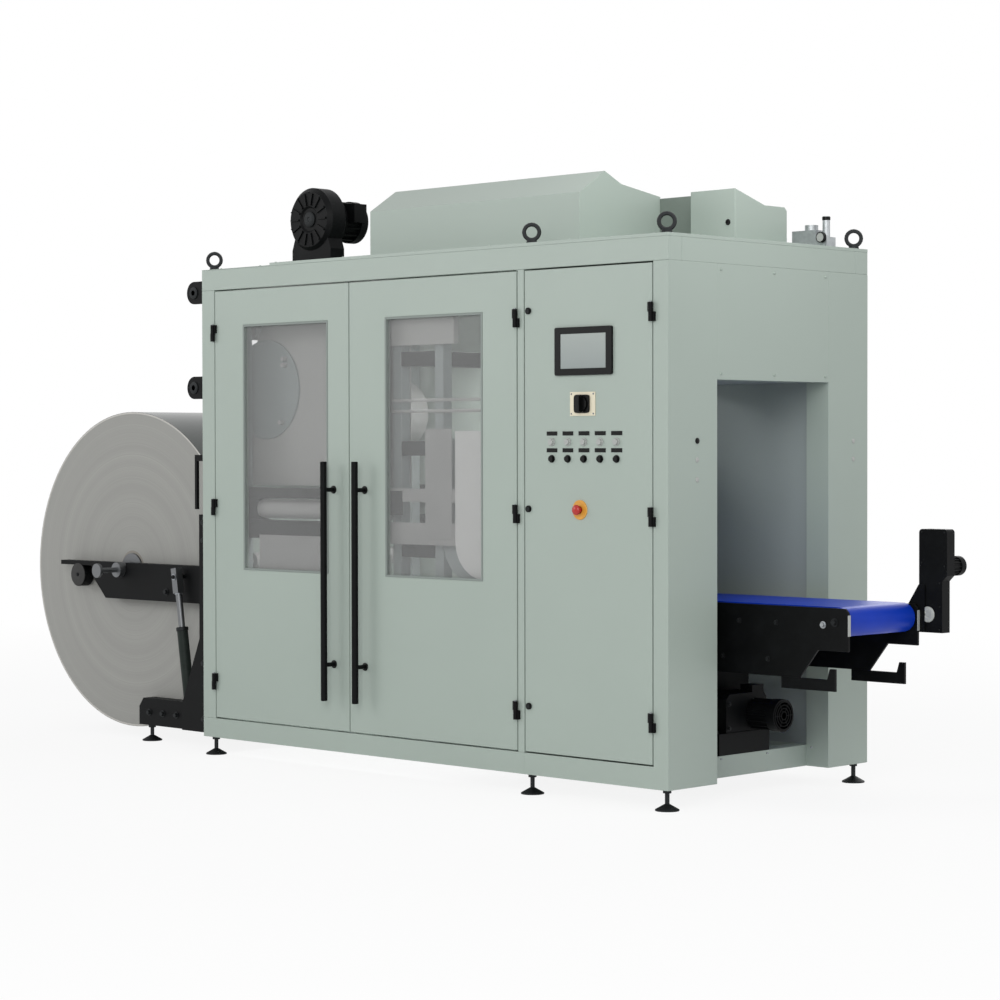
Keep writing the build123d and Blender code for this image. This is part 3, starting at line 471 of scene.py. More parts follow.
def add_square_ring(mesh, point, half_width, half_height, hole, thickness):
    """Adds a plate that stands out along -Y, square with round corners outside and a round hole inside."""
    x, y, z = point
    front, count = y - thickness, 48
    rings = [[], [], [], []]
    for i in range(count):
        turn = 2 * math.pi * i / count
        across, up = math.cos(turn), math.sin(turn)
        squeeze = (abs(across) ** 8 + abs(up) ** 8) ** (-1 / 8)
        outer = (x + half_width * across * squeeze, z + half_height * up * squeeze)
        inner = (x + hole * across, z + hole * up)
        corners = ((outer, y), (outer, front), (inner, front), (inner, y))
        for ring, ((u, v), level) in zip(rings, corners):
            ring.append(mesh.verts.new((u, level, v)))
    for k in range(4):
        lower, upper = rings[k], rings[(k + 1) % 4]
        for i in range(count):
            j = (i + 1) % count
            mesh.faces.new([lower[i], lower[j], upper[j], upper[i]])


def add_grille(mesh, point, axis, radius):
    """Adds a fan guard: raised rings joined by spokes."""
    wire = 1.6 * MM
    for share in (0.25, 0.45, 0.65, 0.85):
        inner, outer = radius * share - wire, radius * share + wire
        square = [(inner, 0), (inner, 2 * wire), (outer, 2 * wire), (outer, 0), (inner, 0)]
        add_lathe(mesh, point, axis, square)
    stand = facing(point, axis)
    for i in range(6):
        turn = math.pi * i / 3
        out = Vector((math.cos(turn), math.sin(turn), 0)) * radius
        start, end = (stand @ (out * share + Z_AXIS * wire) for share in (0.2, 0.9))
        add_rod(mesh, start, end, wire, 8)


def add_edging(mesh, low, high, reach, thickness, sides):
    """Adds the flat flange round the foot of a hood, on the sides that are named."""
    strips = {
        "front": ((low.x - reach, low.y - reach), (high.x + reach, low.y)),
        "back": ((low.x - reach, high.y), (high.x + reach, high.y + reach)),
        "left": ((low.x - reach, low.y), (low.x, high.y)),
        "right": ((high.x, low.y), (high.x + reach, high.y)),
    }
    for side in sides:
        start, end = strips[side]
        add_block(mesh, (*start, low.z), (*end, low.z + thickness))


def place_piece(mesh, name, body, material, edge=0.0):
    """Turns the shapes into one named piece that moves with a body."""
    bmesh.ops.recalc_face_normals(mesh, faces=mesh.faces)
    data = bpy.data.meshes.new(name)
    mesh.to_mesh(data)
    mesh.free()
    data.polygons.foreach_set("use_smooth", [True] * len(data.polygons))
    data.set_sharp_from_angle(angle=SMOOTH_ANGLE)
    data.materials.append(MATERIALS[material])
    piece = bpy.data.objects.new(name, data)
    bpy.context.scene.collection.objects.link(piece)
    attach(piece, body)
    if edge:
        soften(piece, edge)
    return piece


def soften(piece, width):
    """Rounds a piece's sharp edges."""
    bevel = piece.modifiers.new("edges", "BEVEL")
    bevel.width = width
    bevel.segments = 2
    bevel.limit_method = "ANGLE"
    bevel.angle_limit = BEVEL_ANGLE


def spaced(start, end, pitch):
    """Gives evenly spaced places from start to end, about one pitch apart."""
    count = max(1, round(abs(end - start) / pitch))
    return [start + (end - start) * i / count for i in range(count + 1)]


def round_edge(u0, u1, v0, v1, pitch):
    """Gives places round the edge of a rectangle, about one pitch apart."""
    rows = [(u, v) for u in spaced(u0, u1, pitch) for v in (v0, v1)]
    columns = [(u, v) for v in spaced(v0, v1, pitch)[1:-1] for u in (u0, u1)]
    return rows + columns


CAD_FINISH = {
    "powder_coated_steel": (
        "long_rails", "cross_rails", "posts", "roof_plates", "cover_panels", "control_cabinet", "rear_column",
        "end_header", "main_hood", "rear_hood", "left_door_leaf", "right_door_leaf", "control_door_leaf",
    ),
    # These parts take the lining, a darker copy of the housing paint with the tunnel's shade painted in.
    "powder_coated_lining": ("tunnel_lining", "inner_uprights", "filling_chute"),
    "smoked_polycarbonate": ("left_door_window", "right_door_window"),
    "black_enamelled_steel": (
        "blower_casing", "blower_motor", "lift_arms", "conveyor_side_plates", "conveyor_stand",
        "lift_gearmotor", "drive_motor", "drive_cover", "bag_guide_bars", "inner_beams",
        "left_door_handle", "right_door_handle", "seal_bars", "conveyor_bed", "unwinder_posts",
        "unwinder_base", "roller_brackets",
    ),
    "black_coated_hinge_steel": (
        "left_door_hinges", "right_door_hinges", "control_door_hinges", "frame_hinges", "door_locks",
    ),
    # The duct's dark grey enamel is painted shade for the gap between the hoods.
    "grey_enamelled_duct": ("hood_duct",),
    "green_enamelled_barrel": ("cylinder_barrels",),
    "phosphated_steel": ("levelling_feet", "lifting_eyes"),
    "cast_aluminium": ("roof_fittings",),
    "ground_steel_bar": ("conveyor_rollers", "upper_guide_roller", "lower_guide_roller"),
    "dull_steel_bar": ("reel_shaft", "cylinder_rods"),
    "grey_silicone_covering": ("film_rollers",),
    "wound_plastic_film": ("film_reel",),
    "blue_pvc_belting": ("conveyor_belt",),
    "moulded_black_abs": ("operator_screen", "main_switch_knob", "push_buttons"),
    "moulded_cream_abs": ("main_switch_plate",),
    "moulded_red_abs": ("emergency_stop",),
}
THIN_NODES = ("cover_panels", "tunnel_lining", "roof_plates", "main_switch_plate")


class MACHINE_OT_finish_parts(bpy.types.Operator):
    """Gives every part of the frame its finish and rounds its folded edges"""

    bl_idname = "machine.finish_parts"
    bl_label = "Finish the parts"

    def execute(self, context):
        sizes = context.scene.machine_sizes
        make_materials(context.scene.machine_colours)
        finished = set()
        for material, names in CAD_FINISH.items():
            for name in names:
                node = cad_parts[name]
                node.data.materials.clear()
                node.data.materials.append(MATERIALS[material])
                finished.add(name)
                if not any(face.use_smooth for face in node.data.polygons):
                    weld = node.modifiers.new("joined corners", "WELD")
                    weld.merge_threshold = 1e-5
                    soften(node, sizes.thin_edge if name in THIN_NODES else sizes.edge)
        left_over = sorted(set(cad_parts) - finished)
        if left_over:
            raise RuntimeError(f"no finish is given for {left_over}")
        return {"FINISHED"}


class MACHINE_OT_window_seals(bpy.types.Operator):
    """Fits a rubber seal round each window"""

    bl_idname = "machine.window_seals"
    bl_label = "Window seals"

    def execute(self, context):
        width = context.scene.machine_sizes.seal
        for side in ("left", "right"):
            low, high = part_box(f"{side}_door_window")
            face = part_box(f"{side}_door_leaf")[0].y
            front, rear = face - 1.5 * MM, low.y
            mesh = bmesh.new()
            add_block(mesh, (low.x, front, low.z), (low.x + width, rear, high.z))
            add_block(mesh, (high.x - width, front, low.z), (high.x, rear, high.z))
            add_block(mesh, (low.x + width, front, low.z), (high.x - width, rear, low.z + width))
            add_block(mesh, (low.x + width, front, high.z - width), (high.x - width, rear, high.z))
            place_piece(mesh, f"{side}_window_seal", f"{side}_door", "grey_silicone_seal", 1 * MM)
        return {"FINISHED"}


class MACHINE_OT_operator_panel(bpy.types.Operator):
    """Builds the display, the label strips, the button caps and the emergency stop"""

    bl_idname = "machine.operator_panel"
    bl_label = "Operator panel"

    def execute(self, context):
        body = "control_door"
        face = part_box("control_door_leaf")[0].y
        low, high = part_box("operator_screen")
        side_rim, end_rim = 31 * MM, 26 * MM
        front, rear = low.y + 1.5 * MM, low.y + 3.5 * MM
        mesh = bmesh.new()
        left, right = low.x + side_rim, high.x - side_rim
        add_block(mesh, (left, front, low.z + end_rim), (right, rear, high.z - end_rim))
        place_piece(mesh, "display", body, "touch_panel_glass")

        low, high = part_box("push_buttons")
        inset, pitch = 15 * MM, 84 * MM
        rows = (high.z - inset, low.z + inset)
        half_long, half_high, above, rise = 28 * MM, 8 * MM, 33 * MM, 1.6 * MM
        cap = mm((15.6, 0), (15.6, 4), (14.5, 5), (11.6, 5), (11.6, 12.5), (10.5, 13.5), (0, 13.5))
        labels, caps = bmesh.new(), bmesh.new()
        for x in spaced(low.x + inset, high.x - inset, pitch):
            for z in rows:
                bottom, top = z + above - half_high, z + above + half_high
                add_block(labels, (x - half_long, face - rise, bottom), (x + half_long, face, top))
            add_lathe(caps, (x, face, rows[0]), -Y_AXIS, cap, 24)
        place_piece(labels, "button_labels", body, "moulded_black_abs", 0.5 * MM)
        place_piece(caps, "pale_button_caps", body, "moulded_grey_abs")

        low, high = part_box("emergency_stop")
        x, z, rise = (low.x + high.x) / 2, (low.z + high.z) / 2, 4.5 * MM
        collar, head = bmesh.new(), bmesh.new()
        add_lathe(collar, (x, face, z), -Y_AXIS, mm((38, 0), (38, 3), (36, 4.5), (15, 4.5), (15, 0)))
        place_piece(collar, "stop_collar", body, "moulded_amber_abs")
        mushroom = mm((13, 0), (13, 12), (19, 14), (20, 17), (19.5, 21), (16, 25), (9, 28), (0, 29))
        add_lathe(head, (x, face - rise, z), -Y_AXIS, mushroom)
        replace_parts(place_piece(head, "stop_head", body, "moulded_red_abs"), "emergency_stop")

        low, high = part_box("main_switch_plate")
        inset = 8 * MM
        screws, surround = bmesh.new(), bmesh.new()
        for x in (low.x + inset, high.x - inset):
            for z in (low.z + inset, high.z - inset):
                add_screw(screws, (x, low.y, z), -Y_AXIS, 7 * MM)
        place_piece(screws, "switch_plate_screws", body, "zinc_plated_steel")
        add_square_ring(
            surround, ((low.x + high.x) / 2, low.y, (low.z + high.z) / 2),
            half_width=39 * MM, half_height=35 * MM, hole=32 * MM, thickness=8 * MM,
        )
        place_piece(surround, "switch_frame", body, "moulded_black_abs", 1 * MM)
        return {"FINISHED"}


class MACHINE_OT_door_fittings(bpy.types.Operator):
    """Adds the roses and caps of the bar handles, the lock inserts and the hinge pins"""

    bl_idname = "machine.door_fittings"
    bl_label = "Door fittings"

    def execute(self, context):
        bar, lower_post, upper_post = 14 * MM, 150 * MM, 117 * MM
        rose = mm((17, 0), (17, 3), (14, 5), (9.2, 5), (9.2, 0))
        end_cap = mm((12.5, -1), (12.5, 0.6), (11, 1.6), (0, 1.6))
        for side in ("left", "right"):
            low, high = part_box(f"{side}_door_handle")
            x = (low.x + high.x) / 2
            caps = bmesh.new()
            for z in (low.z + lower_post, high.z - upper_post):
                add_lathe(caps, (x, high.y, z), -Y_AXIS, rose)
            for z, axis in ((low.z, -Z_AXIS), (high.z, Z_AXIS)):
                add_lathe(caps, (x, low.y + bar, z), axis, end_cap, 24)
            place_piece(caps, f"{side}_handle_caps", f"{side}_door", "moulded_black_abs")

        low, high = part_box("door_locks")
        lock_radius, lock_pitch = 13 * MM, 0.78
        insert = mm((9, 0), (9, 1.5), (5, 1.5), (4, 0.4), (0, 0.4))
        inserts = bmesh.new()
        for z in spaced(low.z + lock_radius, high.z - lock_radius, lock_pitch):
            add_lathe(inserts, ((low.x + high.x) / 2, low.y, z), -Y_AXIS, insert, 20)
        place_piece(inserts, "lock_inserts", "control_door", "phosphated_steel")

        half, barrel, hinge_pitch = 36 * MM, 9 * MM, 0.77
        pin = mm((5.5, -0.5), (5.5, 2), (4, 3.5), (0, 3.5))
        for side in ("left", "right", "control"):
            low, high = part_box(f"{side}_door_hinges")
            x = low.x + barrel if side == "left" else high.x - barrel
            pins = bmesh.new()
            for z in spaced(low.z, high.z - half, hinge_pitch):
                add_lathe(pins, (x, low.y + barrel, z + half), Z_AXIS, pin, 16)
            place_piece(pins, f"{side}_hinge_pins", f"{side}_door", "zinc_plated_steel")
        return {"FINISHED"}


class MACHINE_OT_panel_screws(bpy.types.Operator):
    """Screws down the header, the panels at the back and the left end, and the roof"""

    bl_idname = "machine.panel_screws"
    bl_label = "Panel screws"

    def execute(self, context):
        screw = context.scene.machine_sizes.screw
        inset, header_pitch, panel_pitch, roof_pitch = 22 * MM, 0.32, 0.45, 0.44
        header, backs, lefts, strip, roof = (bmesh.new() for _ in range(5))
        low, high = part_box("end_header")
        for y, z in round_edge(low.y + inset, high.y - inset, low.z + inset, high.z - inset, header_pitch):
            add_screw(header, (high.x, y, z), X_AXIS, screw)
        place_piece(header, "header_screws", "root", "powder_coated_steel")

        low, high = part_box("cover_panels")
        posts_low, posts_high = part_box("posts")
        post, back, column = 80 * MM, high.y, posts_high.x - 34 * MM
        seam = (low.x + 75 * MM + column) / 2
        for start, end in ((posts_low.x + post, seam), (seam, column), (posts_high.x, high.x)):
            for x, z in round_edge(start + inset, end - inset, low.z + inset, high.z - inset, panel_pitch):
                add_screw(backs, (x, back, z), Y_AXIS, screw)
        place_piece(backs, "back_panel_screws", "root", "zinc_plated_steel")
        # The film goes in through the left end between these two heights.
        inlet_low, inlet_high = 1.700, 1.980
        near, far = posts_low.y + post + inset, posts_high.y - post - inset
        for y, z in round_edge(near, far, low.z + inset, inlet_low - inset, panel_pitch):
            add_screw(lefts, (low.x, y, z), -X_AXIS, screw)
        for y in spaced(near, far, panel_pitch):
            add_screw(lefts, (low.x, y, (inlet_high + high.z) / 2), -X_AXIS, screw)
        place_piece(lefts, "left_panel_screws", "root", "zinc_plated_steel")
        half_strip, rise = 18 * MM, 2.5 * MM
        add_block(strip, (seam - half_strip, back, low.z), (seam + half_strip, back + rise, high.z))
        place_piece(strip, "back_seam_strip", "root", "powder_coated_steel", 0.8 * MM)

        low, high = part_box("roof_plates")
        edges = (low.y + inset, high.y - inset)
        step, thin = 455 * MM, 3 * MM
        for x in spaced(low.x + step + inset, high.x - 4 * inset, roof_pitch):
            for y in edges:
                add_screw(roof, (x, y, high.z), Z_AXIS, screw)
        for y in edges:
            for x in (low.x + 5 * inset, low.x + 17 * inset):
                add_screw(roof, (x, y, low.z + thin), Z_AXIS, screw)
        place_piece(roof, "roof_screws", "root", "powder_coated_steel")
        return {"FINISHED"}


class MACHINE_OT_roof_details(bpy.types.Operator):
    """Adds the hoods' flanges and latch, the blower's bolts, the fan guards and the air unit's fittings"""

    bl_idname = "machine.roof_details"
    bl_label = "Roof details"

    def execute(self, context):
        screw = context.scene.machine_sizes.screw
        reach, thickness, inset, pitch = 22 * MM, 2.5 * MM, 20 * MM, 0.2
        flanges, screws, latch, bolts, guards, knob, dial = (bmesh.new() for _ in range(7))
        for name, end in (("main_hood", "left"), ("rear_hood", "right")):
            low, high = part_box(name)
            add_edging(flanges, low, high, reach, thickness, ("front", "back", end))
            for x in spaced(low.x + inset, high.x - inset, pitch):
                for y in (low.y - reach / 2, high.y + reach / 2):
                    add_screw(screws, (x, y, low.z + thickness), Z_AXIS, screw)
            x = low.x - reach / 2 if end == "left" else high.x + reach / 2
            for y in spaced(low.y + inset, high.y - inset, pitch):
                add_screw(screws, (x, y, low.z + thickness), Z_AXIS, screw)
        place_piece(flanges, "hood_flanges", "root", "powder_coated_steel", 0.8 * MM)
        place_piece(screws, "hood_screws", "root", "zinc_plated_steel")

        low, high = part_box("rear_hood")
        latch_place = (high.x - 36 * MM, low.y, 2.255)
        add_lathe(latch, latch_place, -Y_AXIS, mm((12, 0), (12, 2), (10, 4), (5, 4), (5, 1), (0, 1)), 24)
        place_piece(latch, "hood_latch", "root", "moulded_black_abs")

        low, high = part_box("blower_casing")
        radius, rib_rise, circle, count = 138 * MM, 6 * MM, 118 * MM, 10
        centre = Vector(((low.x + high.x) / 2, low.y + rib_rise, high.z - radius))
        for i in range(count):
            turn = 2 * math.pi * (i + 0.5) / count
            add_screw(bolts, centre + Vector((math.cos(turn), 0, math.sin(turn))) * circle, -Y_AXIS, 8 * MM)
        hub = mm((34, 0), (34, 5), (28, 9), (10, 9), (8, 7), (0, 7))
        add_lathe(bolts, centre + Y_AXIS * 8 * MM, -Y_AXIS, hub)
        place_piece(bolts, "blower_bolts", "root", "phosphated_steel")
        add_grille(guards, (centre.x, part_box("blower_motor")[1].y, centre.z), Y_AXIS, 92 * MM)
        low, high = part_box("drive_motor")
        add_grille(guards, ((low.x + high.x) / 2, high.y, (low.z + high.z) / 2), Y_AXIS, 38 * MM)
        add_grille(guards, (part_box("lift_gearmotor")[1].x, *LIFT_MOTOR), X_AXIS, 64 * MM)
        place_piece(guards, "fan_guards", "root", "black_enamelled_steel")

        low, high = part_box("roof_fittings")
        knob_place = (low.x + 150 * MM, (low.y + 14 * MM + high.y) / 2, high.z - 16 * MM)
        add_lathe(knob, knob_place, Z_AXIS, mm((15.2, 0), (17, 2), (17, 13), (14, 15.5), (0, 15.5)), 14)
        gauge_radius, gauge_height, gauge_depth = 21 * MM, 40 * MM, 13 * MM
        gauge = Vector((high.x - gauge_radius, low.y, low.z + gauge_height))
        casing = mm((21.5, 0), (21.5, 14), (19, 15.5), (18, 15.5), (18, 13.2))
        add_lathe(knob, gauge + Y_AXIS * gauge_depth, -Y_AXIS, casing, 28)
        place_piece(knob, "air_unit_knob", "root", "moulded_black_abs")
        add_lathe(dial, gauge, -Y_AXIS, mm((18, 0), (18, 1), (0, 1)), 28)
        place_piece(dial, "air_gauge_dial", "root", "moulded_grey_abs")
        return {"FINISHED"}


class MACHINE_OT_end_details(bpy.types.Operator):
    """Adds the plugs on both sides of the discharge opening and the threshold's screws"""

    bl_idname = "machine.end_details"
    bl_label = "End details"

    def execute(self, context):
        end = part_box("end_header")[1].x
        sill_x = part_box("cross_rails")[1].x - 32 * MM
        near, far, top, sill_top = 0.127, 1.102, 1.387, 0.165
        dark, pale, sill = bmesh.new(), bmesh.new(), bmesh.new()
        add_lathe(dark, (end, near, top), X_AXIS, mm((11, 0), (11, 3), (8, 5), (0, 5)), 24)
        for y, z in ((near, 1.315), (near, 1.240), (far, top), (far, 1.314)):
            add_lathe(pale, (end, y, z), X_AXIS, mm((10, 0), (10, 1.5), (8.5, 2.5), (0, 2.5)), 24)
        place_piece(dark, "jamb_plug", "root", "moulded_black_abs")
        place_piece(pale, "hole_caps", "root", "moulded_grey_abs")
        for y in spaced(0.31, 0.87, 0.28):
            add_screw(sill, (sill_x, y, sill_top), Z_AXIS, context.scene.machine_sizes.screw)
        place_piece(sill, "threshold_screws", "root", "zinc_plated_steel")
        return {"FINISHED"}


class MACHINE_OT_conveyor_details(bpy.types.Operator):
    """Adds the bolts, end strips and bearing cap of the conveyor and the screws of its drives"""

    bl_idname = "machine.conveyor_details"
    bl_label = "Conveyor details"

    def execute(self, context):
        bolt, small_bolt = context.scene.machine_sizes.bolt, 13 * MM
        low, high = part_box("conveyor_side_plates")
        plate, cover_face = 12 * MM, high.y + 6 * MM
        belt_high, belt_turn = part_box("conveyor_belt")[1], 56 * MM
        upper_row, lower_row = 0.700, 0.560
        black, bright, pale, screws, gear = (bmesh.new() for _ in range(5))
        for x in (2.16, 2.34, 2.52, 2.70, 2.88):
            for y, out in outward(low.y, high.y):
                add_bolt(black, (x, y, upper_row), out, small_bolt)
        for x in (2.40, 2.62, 2.84):
            add_bolt(black, (x, low.y, lower_row), -Y_AXIS, small_bolt)
        for y, out in outward(low.y, high.y):
            add_bolt(black, (belt_high.x - belt_turn, y, belt_high.z - belt_turn), out, bolt)
        place_piece(black, "conveyor_bolts", "root", "phosphated_steel")
        add_bolt(bright, (3.101, low.y, 0.701), -Y_AXIS, 16 * MM)
        place_piece(bright, "conveyor_bright_bolt", "root", "anodised_aluminium")
        bearing_cap = mm((30, 0), (30, 3), (26, 5.5), (14, 5.5), (12, 3), (0, 3))
        add_lathe(pale, (3.252, cover_face, 0.725), -Y_AXIS, bearing_cap)
        strip_low, strip_high, rise = 0.662, 0.740, 2 * MM
        for y in (low.y, high.y - plate):
            add_block(pale, (high.x, y - rise, strip_low), (high.x + rise, y + plate + rise, strip_high))
        place_piece(pale, "conveyor_end_caps", "root", "moulded_grey_abs", 0.5 * MM)

        low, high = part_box("drive_cover")
        inset, neck, step = 12 * MM, 3.210, 22 * MM
        places = [(neck + inset, z) for z in spaced(low.z + 30 * MM, high.z - inset, 0.12)]
        places += [(high.x - inset, z) for z in (high.z - inset, high.z - 0.14)]
        places += [(high.x - step - inset, z) for z in (low.z + inset, low.z + 0.1, low.z + 0.19)]
        for x, z in places:
            add_screw(screws, (x, cover_face, z), -Y_AXIS, 8 * MM)
        place_piece(screws, "drive_cover_screws", "root", "phosphated_steel")

        gear_face, foot_x, foot_top, motor_clear = 2.570, 2.5465, 0.249, 70 * MM
        for y, z in round_edge(0.456, 0.674, 0.268, 0.362, 0.2):
            if math.dist((y, z), LIFT_MOTOR) > motor_clear:
                add_bolt(gear, (gear_face, y, z), X_AXIS, small_bolt)
        for y in spaced(0.41, 0.68, 0.13):
            add_bolt(gear, (foot_x, y, foot_top), Z_AXIS, small_bolt)
        place_piece(gear, "gearmotor_bolts", "root", "phosphated_steel")
        return {"FINISHED"}


class MACHINE_OT_unwinder_details(bpy.types.Operator):
    """Adds the unwinder's bolts, cylinder glands, pin washers, roller bearings and bumper covers"""

    bl_idname = "machine.unwinder_details"
    bl_label = "Unwinder details"

    def execute(self, context):
        bolt = context.scene.machine_sizes.bolt
        arm_faces, cylinders = outward(0.109, 1.049), outward(0.070, 1.088)
        bolts, glands, washers, rod_ends, covers, pads, bearings = (bmesh.new() for _ in range(7))
        low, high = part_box("unwinder_posts")
        post_x, rail_height, arm_height = -0.078, 0.135, 0.700
        for z in (0.15, 0.40, 0.95, 1.03):
            for y, out in outward(low.y, high.y):
                add_bolt(bolts, (post_x, y, z), out, bolt)
        for x in (-0.62, -0.52, -0.42):
            for y, out in arm_faces:
                add_bolt(bolts, (x, y, rail_height), out, bolt)
        place_piece(bolts, "unwinder_bolts", "root", "phosphated_steel")

        foot, eye = Vector((-0.266, 0, 0.150)), Vector((-0.362, 0, 0.775))
        lean = (eye - foot).normalized()
        gland_reach, fork_half, nut_reach = 384 * MM, 18.5 * MM, 81 * MM
        gland = mm((25.3, 0), (28, 1.5), (28, 16), (25, 18), (16, 18), (16, 0))
        washer = mm((9.2, 0), (15, 0), (15, 2.5), (9.2, 2.5))
        nut = mm((15.2, 0), (20, 0), (20, 6), (15.2, 6))
        for y, out in cylinders:
            side = Y_AXIS * y
            add_lathe(glands, foot + side + lean * gland_reach, lean, gland)
            add_lathe(washers, eye + side + out * fork_half, out, washer, 24)
            add_lathe(rod_ends, eye + side - lean * nut_reach, lean, nut, 6)
        place_piece(glands, "cylinder_glands", "lift_barrels", "phosphated_steel")
        place_piece(washers, "pin_washers", "arms", "zinc_plated_steel")
        place_piece(rod_ends, "rod_lock_nuts", "lift_rods", "zinc_plated_steel")

        for y, out in arm_faces:
            bumper = Vector((-1.165, y, 0.759))
            add_lathe(covers, bumper, out, mm((54, -0.2), (54, 2), (50, 3), (10, 3), (10, 1), (0, 1)))
            add_bolt(pads, bumper + out * MM, out, 12 * MM)
            for x in (-0.19, -0.49):
                add_bolt(pads, (x, y, arm_height), out, bolt)
        place_piece(covers, "bumper_covers", "arms", "black_rubber")
        place_piece(pads, "arm_bolts", "arms", "phosphated_steel")

        for name in ("upper_guide_roller", "lower_guide_roller"):
            low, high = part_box(name)
            x, z, inset = (low.x + high.x) / 2, (low.z + high.z) / 2, 6 * MM
            for y, out in outward(low.y + inset, high.y - inset):
                add_lathe(bearings, (x, y, z), out, mm((13, 0), (27, 0), (27, 4), (22, 6), (13, 6)))
        place_piece(bearings, "roller_bearings", "root", "phosphated_steel")
        return {"FINISHED"}


# The plain sheets and the box behind the windows: finish, rounding in millimetres and corners of the blocks.
SHEETS = {
    "beam_covers": ("grey_powder_coated_sheet", 0, (
        ((0.990, 0.0, 1.140), (1.860, 0.002, 1.195)),
        ((0.990, 0.0, 0.965), (1.860, 0.002, 1.055)),
    )),
    "film_tray": ("grey_powder_coated_sheet", 0.5, (((0.300, 0.0, 0.790), (0.930, 0.002, 0.985)),)),
    "chute_apron": ("grey_powder_coated_sheet", 0.5, (((1.345, -0.0015, 0.990), (1.500, 0.0, 1.440)),)),
    "beam_box": ("moulded_black_abs", 1, (((1.125, -0.003, 1.085), (1.209, 0.0, 1.185)),)),
}


class MACHINE_OT_inner_details(bpy.types.Operator):
    """Adds what shows through the windows: the film drum and its side plate, guards, rails and sheets"""

    bl_idname = "machine.inner_details"
    bl_label = "Inner details"

    def execute(self, context):
        side, drum, rim, studs, sleeve, chute, rails = (bmesh.new() for _ in range(7))
        plate_front, plate_rear, upright_face = 0.0995, 0.1035, 0.0895
        plate = [(0.235, 1.95), (1.155, 1.95), (1.155, 1.20), (0.105, 1.20), (0.105, 1.755), (0.150, 1.79)]
        add_prism(side, plate, plate_front, plate_rear, "y")
        for x, z in ((0.125, 1.26), (0.125, 1.68), (1.135, 1.26), (1.135, 1.88)):
            add_rod(side, (x, upright_face, z), (x, 0.100, z), 12 * MM, 16)
        place_piece(side, "film_side_plate", "root", "light_powder_coated_sheet", 0.8 * MM)
        centre = (0.240, plate_front, 1.620)
        add_lathe(drum, centre, -Y_AXIS, mm((205, 0), (205, 6), (60, 8), (0, 8)), 64)
        place_piece(drum, "film_drum_face", "root", "powder_coated_lining")
        add_lathe(rim, centre, -Y_AXIS, mm((205.5, 0), (218, 0), (218, 8), (205.5, 8), (205.5, 0)), 64)
        place_piece(rim, "film_drum_rim", "root", "powder_coated_lining")
        for x, z in ((0.372, 1.752), (0.372, 1.725), (0.352, 1.475)):
            add_rod(studs, (x, plate_front, z), (x, 0.070, z), 10 * MM, 16)
        place_piece(studs, "film_drum_studs", "root", "pale_silicone_sleeve")
        roller_end = (0.28, 0.064, 1.098)
        add_lathe(sleeve, roller_end, X_AXIS, mm((42.1, 0), (42.6, 0.5), (42.6, 765), (42.1, 765.5)), 48)
        place_piece(sleeve, "film_roller_sleeve", "root", "pale_silicone_sleeve")

        for name, (finish, rounding, blocks) in SHEETS.items():
            sheet = bmesh.new()
            for low, high in blocks:
                add_block(sheet, low, high)
            place_piece(sheet, name, "root", finish, rounding * MM)

        left, right, top, bottom = 1.520, 1.860, 1.430, 0.830
        turns = [math.radians(t) for t in range(0, 91, 15)]
        arc = [(left + 0.170 * (1 - math.cos(t)), bottom + 0.150 * (1 - math.sin(t))) for t in turns]
        add_prism(chute, [(right, bottom), (right, top), (left, top), *arc], -2 * MM, 0.0, "y")
        place_piece(chute, "chute_guard", "root", "pale_powder_coated_guard", 0.5 * MM)
        rail_y = 0.034
        for z in (1.513, 1.558):
            add_rod(rails, (1.115, rail_y, z), (right, rail_y, z), 6.5 * MM, 16)
        add_block(rails, (1.070, 0.012, 1.785), (1.500, 0.040, 1.900))
        place_piece(rails, "film_guide_rails", "root", "light_powder_coated_sheet", 0.5 * MM)
        return {"FINISHED"}


# Where each lamp hangs, its width in metres and its power in watts.
LAMPS = {
    "key_light": ((7.5, -8.5, 4.6), 5.0, 420),
    "left_light": ((-5.5, -6.5, 4.5), 4.0, 170),
    "right_light": ((9.0, 2.5, 5.0), 4.0, 60),
    "roof_light": ((3.1, 0.3, 3.3), 0.9, 10),
    "back_light": ((-2.0, 8.5, 5.0), 4.0, 170),
    "inner_light": ((0.9, 0.56, 1.9), 0.6, 18),
    "tunnel_light": ((2.4, 0.58, 1.45), 0.2, 0.32),
}
LAMPS_FACE = Vector((1.0, 0.5, 1.1))
CAMERA_PLACE = (9.034, -7.425, 1.363)


